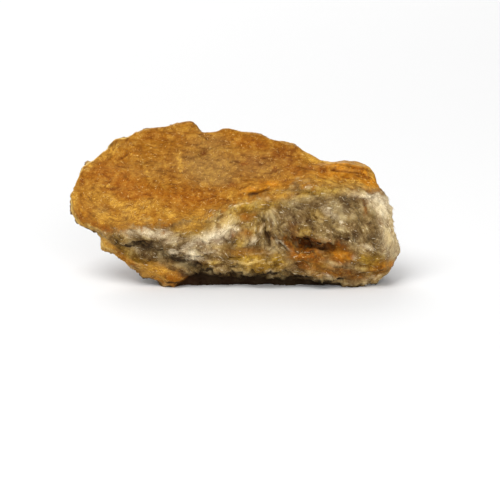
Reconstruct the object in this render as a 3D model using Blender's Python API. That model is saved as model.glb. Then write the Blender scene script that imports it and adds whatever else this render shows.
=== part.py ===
"""Carpholite on quartz: a broken hand specimen, 69 mm long, standing on its lower long edge.

The rock is one solid. Its outline is drawn as it is seen from the front, looking slightly down.
Where the leaning sheet ends in that outline, its edge follows the sheet, and short profiles say how
far back the rest of the edge lies. In front, the sheet of matted carpholite ends at a brow, and
broken quartz lies under the brow. Lumps, hollows, ledges and cracks are pressed into that front.
The back closes on the same outline, layered and broken, and the rock is cut flat where it stands.
"""

import math
from collections import namedtuple

import bmesh
import bpy
import numpy as np
from mathutils import Vector, noise

MM = 0.001

# The drawing plane, in millimetres. It passes through the rock's middle at the foot, square to a
# line of sight that looks down by SIGHT_TILT from SIGHT_DISTANCE away.
SIGHT_TILT = math.radians(13.3)
SIGHT_DISTANCE = 1004.0
SIGHT_CENTRE = (3.1, 6.0)

# The outline: across and up on the drawing plane, clockwise from below the left tip.
LEFT_TIP = [
    (-30.5, 11.2), (-32.5, 13.0), (-34.0, 15.5), (-34.2, 17.0), (-33.3, 18.2), (-32.6, 19.0),
]
TOP_EDGE = [
    (-32.5, 21.0), (-31.5, 23.2), (-29.5, 25.0), (-28.0, 26.0), (-26.5, 26.7), (-26.5, 27.4),
    (-25.0, 29.2), (-24.2, 29.7), (-22.0, 29.6), (-21.0, 30.4), (-19.0, 31.0), (-18.0, 31.6),
    (-15.5, 31.6), (-14.0, 32.0), (-11.0, 32.3), (-9.3, 32.7), (-8.2, 32.2), (-6.3, 30.6),
    (-3.2, 30.6), (-2.6, 31.2), (1.5, 31.0), (6.3, 30.2), (7.4, 29.2), (10.0, 28.8), (12.7, 28.1),
    (13.8, 27.7), (14.6, 26.5), (16.5, 26.1), (18.5, 24.8), (21.0, 24.5), (24.0, 24.4), (28.8, 23.5),
]
RIGHT_END = [
    (29.3, 21.5), (29.8, 19.0), (31.3, 17.5), (32.8, 15.6), (33.7, 11.0), (34.0, 8.0), (34.3, 5.0),
    (34.0, 3.0), (33.0, 1.7), (31.2, 0.8), (28.5, 0.4), (26.5, -1.2),
]
FOOT_EDGE = [(23.0, -3.0), (4.0, -3.3), (-10.0, -3.3)]
LOWER_LEFT = [
    (-13.0, -1.2), (-16.0, 0.6), (-19.0, 1.1), (-21.0, 2.1), (-23.0, 3.4), (-25.7, 5.2),
    (-27.3, 6.7), (-28.0, 8.8),
]

# How far back the outline lies: just behind the front where the sheet ends in it, by height at the
# right end, and by place across along the foot and the lower left.
SHEET_EDGE_SETBACK = 0.2
RIGHT_END_BACK = [(-1.5, -6.5), (0.5, -5.0), (3.0, -2.5), (8.0, -0.5), (15.0, 0.5), (22.0, 0.5)]
LOWER_EDGE_BACK = [
    (-29.0, -4.5), (-25.0, -6.0), (-18.0, -7.0), (-10.0, -8.5), (4.0, -5.5), (23.0, -6.0),
]

# The front sheet leans back from the brow. Its left end curls away.
SHEET_START_UP = 11.0
SHEET_START_BACK = -8.4
SHEET_LEAN = 0.70
CURL_START = -20.0
CURL = 0.012

# The brow, where the sheet is broken off: across and up on the drawing plane.
BROW = [
    (-36.0, 9.5), (-25.0, 10.0), (-18.0, 11.0), (-12.0, 11.0), (-7.5, 12.0), (-4.0, 13.5),
    (0.5, 16.0), (7.5, 17.5), (12.5, 19.5), (19.5, 20.0), (28.5, 19.0), (36.0, 18.5),
]
BROW_SOFTNESS = 0.45
FOOT_UP = -2.0
FOOT_BACK = -9.0

# The underside: below this line the front turns in under the rock.
UNDERSIDE = [
    (-14.0, -3.0), (-11.0, -1.0), (-8.5, 1.5), (-5.5, 2.0), (-2.0, 1.0), (6.0, 1.5), (11.0, 1.0),
    (17.0, 0.5), (23.0, -1.0), (28.0, -1.5),
]
UNDERSIDE_DEPTH = 4.0
UNDERSIDE_SOFTNESS = 1.5
UNDERSIDE_LEAD = 0.45

# Lumps stand out of the front, and hollows, with a negative rise, are pressed in. Fullness is how
# flat their tops are.
LUMP_FULLNESS = 3
Lump = namedtuple("Lump", "name across up half_length half_height turn rise")
LUMPS = [
    Lump("quartz bulge", 20.0, 10.5, 14.5, 8.5, -4, 5.4),
    Lump("middle swell", -2.0, 8.5, 11.0, 5.0, 8, 2.3),
    Lump("left nose", -19.0, 9.0, 6.5, 2.0, -8, 1.1),
    Lump("white knob", -9.0, 6.0, 4.5, 2.5, -14, 1.7),
    Lump("left recess", -13.5, 4.5, 8.5, 1.5, -15, -2.7),
    Lump("ochre lip", -16.0, 1.5, 7.0, 1.6, -14, 0.9),
    Lump("low knob", 6.0, 2.5, 3.5, 1.3, 0, 1.9),
    Lump("low ledge", 0.5, 4.0, 3.5, 1.2, -4, 1.3),
    Lump("olive ledge", -5.0, 2.8, 2.5, 0.9, -2, 1.0),
    Lump("fan flake", 9.0, 9.5, 5.0, 1.5, -50, 1.2),
    Lump("under the fan", 9.0, 6.5, 2.5, 1.3, -40, -1.2),
    Lump("rust hollow", 17.0, 6.8, 6.5, 1.3, -8, -1.7),
    Lump("rust shelf", 15.0, 4.5, 3.5, 1.2, -10, 0.9),
    Lump("toe", 21.5, 2.0, 5.5, 1.6, -8, 1.5),
    Lump("right tip", 31.5, 3.5, 3.2, 2.6, 25, 1.2),
    Lump("right shoulder", 27.5, 18.0, 5.5, 1.7, -12, 1.3),
    Lump("brown pit", 27.0, 15.0, 1.5, 2.2, 0, -0.6),
    Lump("orange ledge", 4.5, 18.5, 3.0, 0.9, 8, 1.3),
    Lump("sheet pit", -6.8, 26.5, 1.6, 1.2, 0, -0.5),
    Lump("top saddle", -4.5, 30.5, 2.5, 2.5, 0, -0.6),
    Lump("left swell", -22.0, 20.0, 9.0, 6.0, 20, 0.9),
    Lump("right sheet swell", 12.0, 22.5, 9.0, 2.5, -18, 0.8),
    Lump("orange rib", 24.0, 22.5, 6.5, 0.8, -6, 0.7),
]

# Cracks: a line across the front, its half width and its depth.
Crack = namedtuple("Crack", "name line half_width depth")
CRACKS = [
    Crack("crevice", [(5.2, 12.5), (6.2, 11.0), (6.4, 9.0), (7.2, 7.0)], 0.8, 2.2),
    Crack("rust crack", [(11.5, 8.5), (14.0, 7.5), (17.0, 6.5), (21.0, 6.0)], 0.6, 1.4),
    Crack("bulge crack", [(11.0, 16.5), (12.5, 12.5), (12.0, 9.0)], 0.6, 0.9),
    Crack("lip crack", [(-24.0, 7.0), (-18.5, 4.0), (-12.5, 2.8), (-8.0, 2.0)], 0.6, 1.2),
]

# Ledges of the sheet: right of each line the top layer is gone, by the drop, fading over a reach.
Ledge = namedtuple("Ledge", "name top bottom drop reach")
LEDGES = [
    Ledge("first ledge", (7.0, 30.0), (9.5, 25.0), 0.6, 8.0),
    Ledge("second ledge", (14.0, 27.5), (18.5, 23.5), 1.0, 7.0),
    Ledge("left ledge", (-25.5, 28.5), (-28.0, 24.5), -0.5, 6.0),
]
LEDGE_ENDS = 1.0

# The back: how far back it lies in the middle, thinner to the left, and how square its edges are.
BACK_MIDDLE = 10.4
BACK_THINNING_START = -14.0
BACK_THINNING = 0.26
BACK_CENTRE = (-1.0, 14.0)
BACK_SQUARENESS_TOP = 0.80
BACK_SQUARENESS_FOOT = 0.42

# The broken grain: layers parallel to the front sheet, and hackly lumps of quartz. A grain's octaves
# say how fast the finer ones fade, how much finer each is, and how many there are.
LAYER_LEAN = math.radians(39.0)
LAYER_NORMAL = Vector((0.0, -math.cos(LAYER_LEAN), math.sin(LAYER_LEAN)))
LAYER_SLOPE = Vector((0.0, math.sin(LAYER_LEAN), math.cos(LAYER_LEAN)))
LAYER_LENGTH = 13.0
LAYER_THICKNESS = 2.1
LAYER_RELIEF = 0.55
LAYER_OCTAVES = (0.9, 2.0, 3)
LAYER_EDGE_ON = 1.4
HACKLE_SIZE = 4.6
HACKLE_RELIEF = 0.80
HACKLE_OCTAVES = (0.8, 2.1, 3)
SWELL_RELIEF = 0.55
SWELL_SIZE = 3.6
SWELL_LENGTH = 8.0
SWELL_OCTAVES = (0.9, 2.0, 2)
BACK_CALM = 0.55

# The back's terraces, where whole layers have broken away.
TERRACE_START = Vector((3.1, 7.7, 1.9))
TERRACE_LENGTH = 26.0
TERRACE_SIZE = 13.0
TERRACE_HEIGHT = 1.3
TERRACE_COUNT = 2.0
TERRACE_RISER = 1.0 / 6.0
TERRACE_OCTAVES = (0.6, 2.0, 2)

# A face is sheet or back from this much turned along the layers' normal or against it.
SHEET_FACING = 0.3
SHEET_BLEND = 0.3
SHEET_MARGIN = 0.5
BACK_FACING = 0.25
BACK_BLEND = 0.35

# The mesh: the shell's step and rings, the even mesh that takes the grain, the finished faces.
SHELL_STEP = 0.9
SHELL_RINGS = 44
EVEN_STEP = 0.62
FACE_COUNT = 9200
CUTTER_SIZE = 120.0
FLOOR_SNAP = 0.12
EDGE_FULLNESS = 8.0
HEART = (-1.0, 14.0)

ROCK_COLOUR = (0.36, 0.20, 0.065, 1.0)
ROCK_ROUGHNESS = 0.75


def clear_scene():
    """Remove whatever the scene already holds."""
    for item in list(bpy.data.objects):
        bpy.data.objects.remove(item, do_unlink=True)


def place(across, up, back):
    """Turn drawing-plane places that lie at a given distance back into points of the rock."""
    sine = math.sin(SIGHT_TILT)
    cosine = math.cos(SIGHT_TILT)
    off_across = across - SIGHT_CENTRE[0]
    off_up = up - SIGHT_CENTRE[1]
    depth = (back - up * sine) / (cosine + off_up * sine / SIGHT_DISTANCE)
    spread = depth / SIGHT_DISTANCE
    x = across + off_across * spread
    z = (up + off_up * spread) * cosine - depth * sine
    return np.stack([x, back, z], axis=-1)


def outline():
    """Return the outline's corners, each with its across, up and back."""
    sheet_edge = np.array(LEFT_TIP + TOP_EDGE)
    sheet_back = front_back(sheet_edge[:, 0], sheet_edge[:, 1]) + SHEET_EDGE_SETBACK
    right_end = np.array(RIGHT_END)
    right_back = line_height(RIGHT_END_BACK, right_end[:, 1])
    lower_edge = np.array(FOOT_EDGE + LOWER_LEFT)
    lower_back = line_height(LOWER_EDGE_BACK, lower_edge[:, 0])
    corners = np.concatenate([sheet_edge, right_end, lower_edge])
    return np.column_stack([corners, np.concatenate([sheet_back, right_back, lower_back])])


def along_outline():
    """Return the outline as evenly spaced points, each with its across, up and back."""
    corners = outline()
    corners = np.concatenate([corners, corners[:1]])
    runs = np.linalg.norm(np.diff(corners[:, :2], axis=0), axis=1)
    travelled = np.concatenate([[0.0], np.cumsum(runs)])
    count = int(round(travelled[-1] / SHELL_STEP))
    stops = np.linspace(0.0, travelled[-1], count, endpoint=False)
    return np.stack([np.interp(stops, travelled, corners[:, axis]) for axis in range(3)], axis=-1)


def smooth_step(value):
    """Ease from 0 to 1 while the value goes from 0 to 1."""
    value = np.clip(value, 0.0, 1.0)
    return value * value * (3.0 - 2.0 * value)


def line_height(line, across):
    """Return a line's second value, such as how far up it lies, at a place along its first."""
    line_across, line_up = np.array(line).T
    return np.interp(across, line_across, line_up)


def lump_height(lump, across, up):
    """Return how far a lump pushes the front towards the eye."""
    turn = math.radians(lump.turn)
    right = across - lump.across
    above = up - lump.up
    along = (right * math.cos(turn) + above * math.sin(turn)) / lump.half_length
    beside = (above * math.cos(turn) - right * math.sin(turn)) / lump.half_height
    return lump.rise * np.exp(-np.hypot(along, beside) ** LUMP_FULLNESS)


def line_distance(line, across, up):
    """Return the distance from each place to the nearest stretch of a line."""
    nearest = np.full(np.shape(across), np.inf)
    for start, end in zip(line[:-1], line[1:]):
        run = np.subtract(end, start)
        share = ((across - start[0]) * run[0] + (up - start[1]) * run[1]) / run.dot(run)
        share = np.clip(share, 0.0, 1.0)
        gap = np.hypot(across - start[0] - share * run[0], up - start[1] - share * run[1])
        nearest = np.minimum(nearest, gap)
    return nearest


def ledge_drop(ledge, across, up):
    """Return how far the sheet drops back beyond a ledge's line."""
    run = np.subtract(ledge.bottom, ledge.top)
    length = math.hypot(run[0], run[1])
    along = ((across - ledge.top[0]) * run[0] + (up - ledge.top[1]) * run[1]) / length
    beyond = ((up - ledge.top[1]) * run[0] - (across - ledge.top[0]) * run[1]) / length
    ends = smooth_step(along + LEDGE_ENDS) * smooth_step(length + LEDGE_ENDS - along)
    return ledge.drop * ends * smooth_step(beyond) * smooth_step(1.0 - beyond / ledge.reach)


def front_back(across, up):
    """Return how far back the front surface lies at each place of the drawing plane."""
    brow = line_height(BROW, across)
    curl = CURL * np.maximum(CURL_START - across, 0.0) ** 2
    sheet = SHEET_START_BACK + SHEET_LEAN * (up - SHEET_START_UP) + curl
    at_brow = SHEET_START_BACK + SHEET_LEAN * (brow - SHEET_START_UP) + curl
    broken = at_brow + (FOOT_BACK - at_brow) * (brow - up) / (brow - FOOT_UP)
    share = smooth_step(0.5 + (up - brow) / (2.0 * BROW_SOFTNESS))
    back = broken + (sheet - broken) * share
    below = line_height(UNDERSIDE, across) - up
    back = back + UNDERSIDE_DEPTH * smooth_step((below + UNDERSIDE_LEAD) / UNDERSIDE_SOFTNESS)
    for ledge in LEDGES:
        back = back + ledge_drop(ledge, across, up)
    for lump in LUMPS:
        back = back - lump_height(lump, across, up)
    for crack in CRACKS:
        gap = line_distance(crack.line, across, up)
        back = back + crack.depth * np.exp(-((gap / crack.half_width) ** 2))
    return back


def back_back(x):
    """Return how far back the rear surface lies, thinner towards the left end."""
    thin = BACK_THINNING * np.maximum(BACK_THINNING_START - x, 0.0)
    return BACK_MIDDLE - thin


def shell_rows():
    """Return the shell's rings of points, from the front's middle over the edge to the back's."""
    edge = along_outline()
    edge_points = place(edge[:, 0], edge[:, 1], edge[:, 2])
    rows = []
    for turn in np.linspace(0.0, math.pi / 2.0, SHELL_RINGS + 1)[1:]:
        reach = math.sin(turn)
        across = HEART[0] + (edge[:, 0] - HEART[0]) * reach
        up = HEART[1] + (edge[:, 1] - HEART[1]) * reach
        fullness = math.sqrt(max(1.0 - reach ** EDGE_FULLNESS, 0.0))
        back = edge[:, 2] + (front_back(across, up) - edge[:, 2]) * fullness
        rows.append(place(across, up, back))
    middle = np.array([BACK_CENTRE[0], 0.0, BACK_CENTRE[1]])
    below = np.clip((middle[2] - edge_points[:, 2]) / middle[2], 0.0, 1.0)
    square = BACK_SQUARENESS_TOP + (BACK_SQUARENESS_FOOT - BACK_SQUARENESS_TOP) * below
    for turn in np.linspace(math.pi / 2.0, 0.0, SHELL_RINGS + 1)[1:-1]:
        points = middle + (edge_points - middle) * (math.sin(turn) ** square)[:, None]
        depth = math.cos(turn) ** square
        points[:, 1] = edge_points[:, 1] + (back_back(points[:, 0]) - edge_points[:, 1]) * depth
        rows.append(points)
    return rows


def shell_mesh():
    """Build the closed shell, which still reaches below the foot."""
    rows = shell_rows()
    heart = np.array(HEART)
    front_pole = place(heart[:1], heart[1:], front_back(heart[:1], heart[1:]))[0]
    back_pole = np.array([BACK_CENTRE[0], back_back(BACK_CENTRE[0]), BACK_CENTRE[1]])
    shell = bmesh.new()
    front = shell.verts.new(front_pole * MM)
    back = shell.verts.new(back_pole * MM)
    rings = [[shell.verts.new(point * MM) for point in row] for row in rows]
    count = len(rings[0])
    for index in range(count):
        following = (index + 1) % count
        shell.faces.new((front, rings[0][index], rings[0][following]))
        shell.faces.new((back, rings[-1][following], rings[-1][index]))
        for inner, outer in zip(rings[:-1], rings[1:]):
            shell.faces.new((inner[index], outer[index], outer[following], inner[following]))
    bmesh.ops.recalc_face_normals(shell, faces=shell.faces)
    mesh = bpy.data.meshes.new("rock_shell")
    shell.to_mesh(mesh)
    shell.free()
    return mesh


def apply_modifiers(rock):
    """Replace an object's mesh by what its modifiers give, and clear them."""
    evaluated = rock.evaluated_get(bpy.context.evaluated_depsgraph_get())
    rock.data = bpy.data.meshes.new_from_object(evaluated)
    rock.modifiers.clear()


def seen_at(point):
    """Return where on the drawing plane a point of the rock is seen."""
    sine = math.sin(SIGHT_TILT)
    cosine = math.cos(SIGHT_TILT)
    depth = point.y * cosine - point.z * sine
    away = 1.0 + depth / SIGHT_DISTANCE
    across = SIGHT_CENTRE[0] + (point.x - SIGHT_CENTRE[0]) / away
    up = SIGHT_CENTRE[1] + (point.y * sine + point.z * cosine - SIGHT_CENTRE[1]) / away
    return across, up


def grain(point, normal):
    """Return how far the broken grain lifts a point of the rock, in millimetres."""
    layered = Vector((
        point.x / LAYER_LENGTH,
        point.dot(LAYER_SLOPE) / LAYER_LENGTH,
        point.dot(LAYER_NORMAL) / LAYER_THICKNESS,
    ))
    facing = normal.dot(LAYER_NORMAL)
    across, up = seen_at(point)
    above_brow = up - line_height(BROW, across)
    turned = smooth_step((facing - SHEET_FACING) / SHEET_BLEND)
    on_sheet = float(turned * smooth_step(above_brow + SHEET_MARGIN))
    on_back = float(smooth_step((-facing - BACK_FACING) / BACK_BLEND))
    layers = LAYER_RELIEF * noise.fractal(layered, *LAYER_OCTAVES) * (LAYER_EDGE_ON - abs(facing))
    hackle = HACKLE_RELIEF * noise.fractal(point / HACKLE_SIZE, *HACKLE_OCTAVES)
    stretched = Vector((point.x / SWELL_LENGTH, point.y / SWELL_SIZE, point.z / SWELL_SIZE))
    swell = SWELL_RELIEF * noise.fractal(stretched, *SWELL_OCTAVES)
    rough = layers + hackle * (1.0 - BACK_CALM * on_back)
    return rough * (1.0 - on_sheet) + swell * on_sheet + on_back * terrace(point)


def terrace(point):
    """Return the layered steps of the back, where whole sheets have broken away."""
    place_on_back = Vector((point.x / TERRACE_LENGTH, point.y / TERRACE_SIZE, point.z / TERRACE_SIZE))
    field = noise.fractal(place_on_back + TERRACE_START, *TERRACE_OCTAVES)
    level = (field + 1.0) * TERRACE_COUNT
    tread = math.floor(level)
    riser = float(smooth_step(0.5 + (level - tread - 0.5) / TERRACE_RISER))
    return TERRACE_HEIGHT * (tread + riser - TERRACE_COUNT)


def roughen(mesh):
    """Lift every point of an even mesh by the grain."""
    normals = [vertex.normal.copy() for vertex in mesh.vertices]
    for vertex, normal in zip(mesh.vertices, normals):
        vertex.co += normal * float(grain(vertex.co / MM, normal)) * MM


def floor_cutter():
    """Return a box whose top is the plane that the rock stands on."""
    box = bmesh.new()
    bmesh.ops.create_cube(box, size=CUTTER_SIZE * MM)
    bmesh.ops.translate(box, verts=box.verts, vec=(0, 0, -CUTTER_SIZE / 2 * MM))
    mesh = bpy.data.meshes.new("floor_cutter")
    box.to_mesh(mesh)
    box.free()
    cutter = bpy.data.objects.new("floor_cutter", mesh)
    cutter.hide_render = True
    cutter.display_type = "WIRE"
    bpy.context.scene.collection.objects.link(cutter)
    return cutter


def rest_near_points(mesh):
    """Bring the points that lie close to the floor plane exactly onto it, so the cut is clean."""
    for vertex in mesh.vertices:
        if abs(vertex.co.z) < FLOOR_SNAP * MM:
            vertex.co.z = 0.0


def centre_over_foot(mesh):
    """Move the rock sideways so that its middle is over the origin."""
    count = len(mesh.vertices)
    points = np.empty(count * 3)
    mesh.vertices.foreach_get("co", points)
    points = points.reshape(count, 3)
    middle = (points.min(axis=0) + points.max(axis=0)) / 2.0
    points[:, :2] -= middle[:2]
    mesh.vertices.foreach_set("co", points.ravel())
    mesh.update()


def rock_material():
    """Return the rock's plain ochre."""
    material = bpy.data.materials.new("ochre_rock")
    material.use_nodes = True
    shader = material.node_tree.nodes["Principled BSDF"]
    shader.inputs["Base Color"].default_value = ROCK_COLOUR
    shader.inputs["Roughness"].default_value = ROCK_ROUGHNESS
    shader.inputs["Metallic"].default_value = 0.0
    return material


def build_rock():
    """Build the specimen as one closed solid: shell, even mesh, grain, fewer faces, flat foot."""
    rock = bpy.data.objects.new("carpholite_rock", shell_mesh())
    bpy.context.scene.collection.objects.link(rock)
    even = rock.modifiers.new("even mesh", "REMESH")
    even.mode = "VOXEL"
    even.voxel_size = EVEN_STEP * MM
    apply_modifiers(rock)
    roughen(rock.data)
    fewer = rock.modifiers.new("fewer faces", "DECIMATE")
    fewer.use_collapse_triangulate = True
    fewer.ratio = FACE_COUNT / sum(len(face.vertices) - 2 for face in rock.data.polygons)
    apply_modifiers(rock)
    rest_near_points(rock.data)
    flat_foot = rock.modifiers.new("flat foot", "BOOLEAN")
    flat_foot.operation = "DIFFERENCE"
    flat_foot.object = floor_cutter()
    rock.modifiers.new("triangles", "TRIANGULATE")
    apply_modifiers(rock)
    centre_over_foot(rock.data)
    rock.data.materials.clear()
    rock.data.materials.append(rock_material())
    return rock


def main():
    """Build the model."""
    clear_scene()
    build_rock()


main()
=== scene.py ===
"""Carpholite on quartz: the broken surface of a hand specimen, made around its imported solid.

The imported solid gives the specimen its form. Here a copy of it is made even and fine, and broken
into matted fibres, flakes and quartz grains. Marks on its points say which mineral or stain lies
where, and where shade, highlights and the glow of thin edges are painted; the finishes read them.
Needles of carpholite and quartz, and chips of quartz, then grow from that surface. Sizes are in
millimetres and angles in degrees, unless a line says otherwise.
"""

import itertools
import logging
import math
from dataclasses import dataclass
from enum import Enum
from typing import NamedTuple, Sequence

import bmesh
import bpy
import numpy as np
from mathutils import Matrix, Vector


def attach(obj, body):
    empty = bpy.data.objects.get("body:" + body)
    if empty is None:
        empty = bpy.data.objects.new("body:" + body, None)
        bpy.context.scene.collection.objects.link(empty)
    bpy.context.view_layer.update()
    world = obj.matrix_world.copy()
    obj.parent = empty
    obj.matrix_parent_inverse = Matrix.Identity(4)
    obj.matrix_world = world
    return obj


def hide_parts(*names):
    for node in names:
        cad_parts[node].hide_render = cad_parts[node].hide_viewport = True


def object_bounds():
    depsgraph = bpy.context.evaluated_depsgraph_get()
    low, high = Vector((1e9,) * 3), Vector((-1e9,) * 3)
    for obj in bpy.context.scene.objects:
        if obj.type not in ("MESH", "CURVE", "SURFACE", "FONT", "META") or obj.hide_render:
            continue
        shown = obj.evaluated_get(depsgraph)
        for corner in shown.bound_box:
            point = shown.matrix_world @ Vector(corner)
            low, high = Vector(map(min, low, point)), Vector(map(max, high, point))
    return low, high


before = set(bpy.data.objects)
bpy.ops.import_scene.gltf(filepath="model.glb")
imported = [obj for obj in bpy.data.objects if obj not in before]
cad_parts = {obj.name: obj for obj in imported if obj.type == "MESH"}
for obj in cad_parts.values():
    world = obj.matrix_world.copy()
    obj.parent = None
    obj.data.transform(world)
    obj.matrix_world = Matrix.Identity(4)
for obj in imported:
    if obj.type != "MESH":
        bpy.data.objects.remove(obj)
CAD_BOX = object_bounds()

Field = np.ndarray
Colour = tuple[float, float, float]
Socket = bpy.types.NodeSocket

MM = 0.001
NODE = "carpholite_rock"
BODY = "root"

# The pieces, and the name under which the small ones carry a random shade.
STONE = "carpholite_stone"
FELT = "carpholite_felt"
SPLINTERS = "quartz_splinters"
CHIPS = "quartz_chips"
TINT = "tint"

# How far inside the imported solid's box every point stays.
BOX_MARGIN = 0.005

# The line of sight, which the places of the front's features are measured along: it looks down by
# SIGHT_TILT from SIGHT_DISTANCE away at SIGHT_CENTRE, across and up, all in millimetres.
SIGHT_TILT = math.radians(13.29)
SIGHT_ROLL = math.radians(0.21)
SIGHT_DISTANCE = 1004.5
SIGHT_CENTRE = (3.07, 5.98)

# The carpholite's layers: along them, square to them, and up their slope.
LAYER_LEAN = math.radians(39.0)
ALONG = np.array([1.0, 0.0, 0.0])
LAYER_NORMAL = np.array([0.0, -math.cos(LAYER_LEAN), math.sin(LAYER_LEAN)])
LAYER_SLOPE = np.array([0.0, math.sin(LAYER_LEAN), math.cos(LAYER_LEAN)])

log = logging.getLogger("carpholite")


class Mark(Enum):
    """What a point of the surface is marked with, each from 0 to 1."""

    SHEET = "sheet"
    OLIVE = "olive"
    DEEP = "deep"
    # Golden fibres, and the painted glow of thin edges.
    GOLD_AND_PAINTED_GLOW = "gold"
    # Red-brown stain, and painted shade in some cracks and under the recess.
    RED = "red"
    # White quartz, and painted highlights and glow.
    WHITE = "white"
    # Grey quartz, and painted shade in the recess.
    GREY_AND_PAINTED_SHADE = "grey"
    # Painted shade: in recesses and cracks, on the underside and in dark spots on the other sides.
    DARK = "dark"
    RUST = "rust"
    TINGE = "tinge"
    ORANGE = "orange"
    # Painted glow where thin edges turn away from the line of sight.
    PAINTED_RIM_GLOW = "rim"
    # Painted shade in the hollows, cracks and seams of the relief.
    PAINTED_HOLLOW_SHADE = "relief"


class Guide(Enum):
    """The vectors that a point of the surface carries."""

    STRAND = "strand"
    WEFT = "weft"


class Bit(Enum):
    """The small solids that grow from the surface."""

    NEEDLE = "needle"
    CHIP = "chip"


class Patch(NamedTuple):
    """A soft-edged oval on the front: its middle, half sizes and turn in degrees, and its amount."""

    name: str
    across: float
    up: float
    half_length: float
    half_height: float
    turn: float
    amount: float


class Stroke(NamedTuple):
    """A place on the front, and the angle that the fibres have there, in degrees."""

    name: str
    across: float
    up: float
    angle: float


class Seam(NamedTuple):
    """A line across the front, pressed in: its half width and its depth, in millimetres."""

    name: str
    line: tuple[tuple[float, float], ...]
    half_width: float
    depth: float


class Blotch(NamedTuple):
    """A blotchy field: its size and start in the noise, the noise that gives 0 and 1, and its share."""

    size: float
    start: float
    low: float
    high: float
    share: float = 1.0


class Comb(NamedTuple):
    """Noise drawn out along the fibres: how wide it is, and how far it reaches to either side."""

    width: float
    reach: float


class Relief(NamedTuple):
    """One kind of relief: how high it stands, and how strongly its hollows are painted in shade."""

    height: float
    shade: float


class Lamp(NamedTuple):
    """A square soft light: its place and side, in metres, and its power, in watts."""

    name: str
    place: tuple[float, float, float]
    side: float
    power: float


# The brow, where the sheet is broken off, and the underside, below which the front turns in and is painted in
# shade.
BROW = (
    (-36.0, 9.5), (-25.0, 10.0), (-18.0, 11.0), (-12.0, 11.0), (-7.5, 12.0), (-4.0, 13.5),
    (0.5, 16.0), (7.5, 17.5), (12.5, 19.5), (19.5, 20.0), (28.5, 19.0), (36.0, 18.5),
)
UNDERSIDE = (
    (-14.0, -3.0), (-11.0, -0.5), (-8.5, 1.5), (-5.5, 1.5), (-2.0, 0.8), (6.0, 1.0), (11.0, 0.5),
    (17.0, 0.0), (23.0, -1.2), (28.0, -1.8),
)

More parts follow.
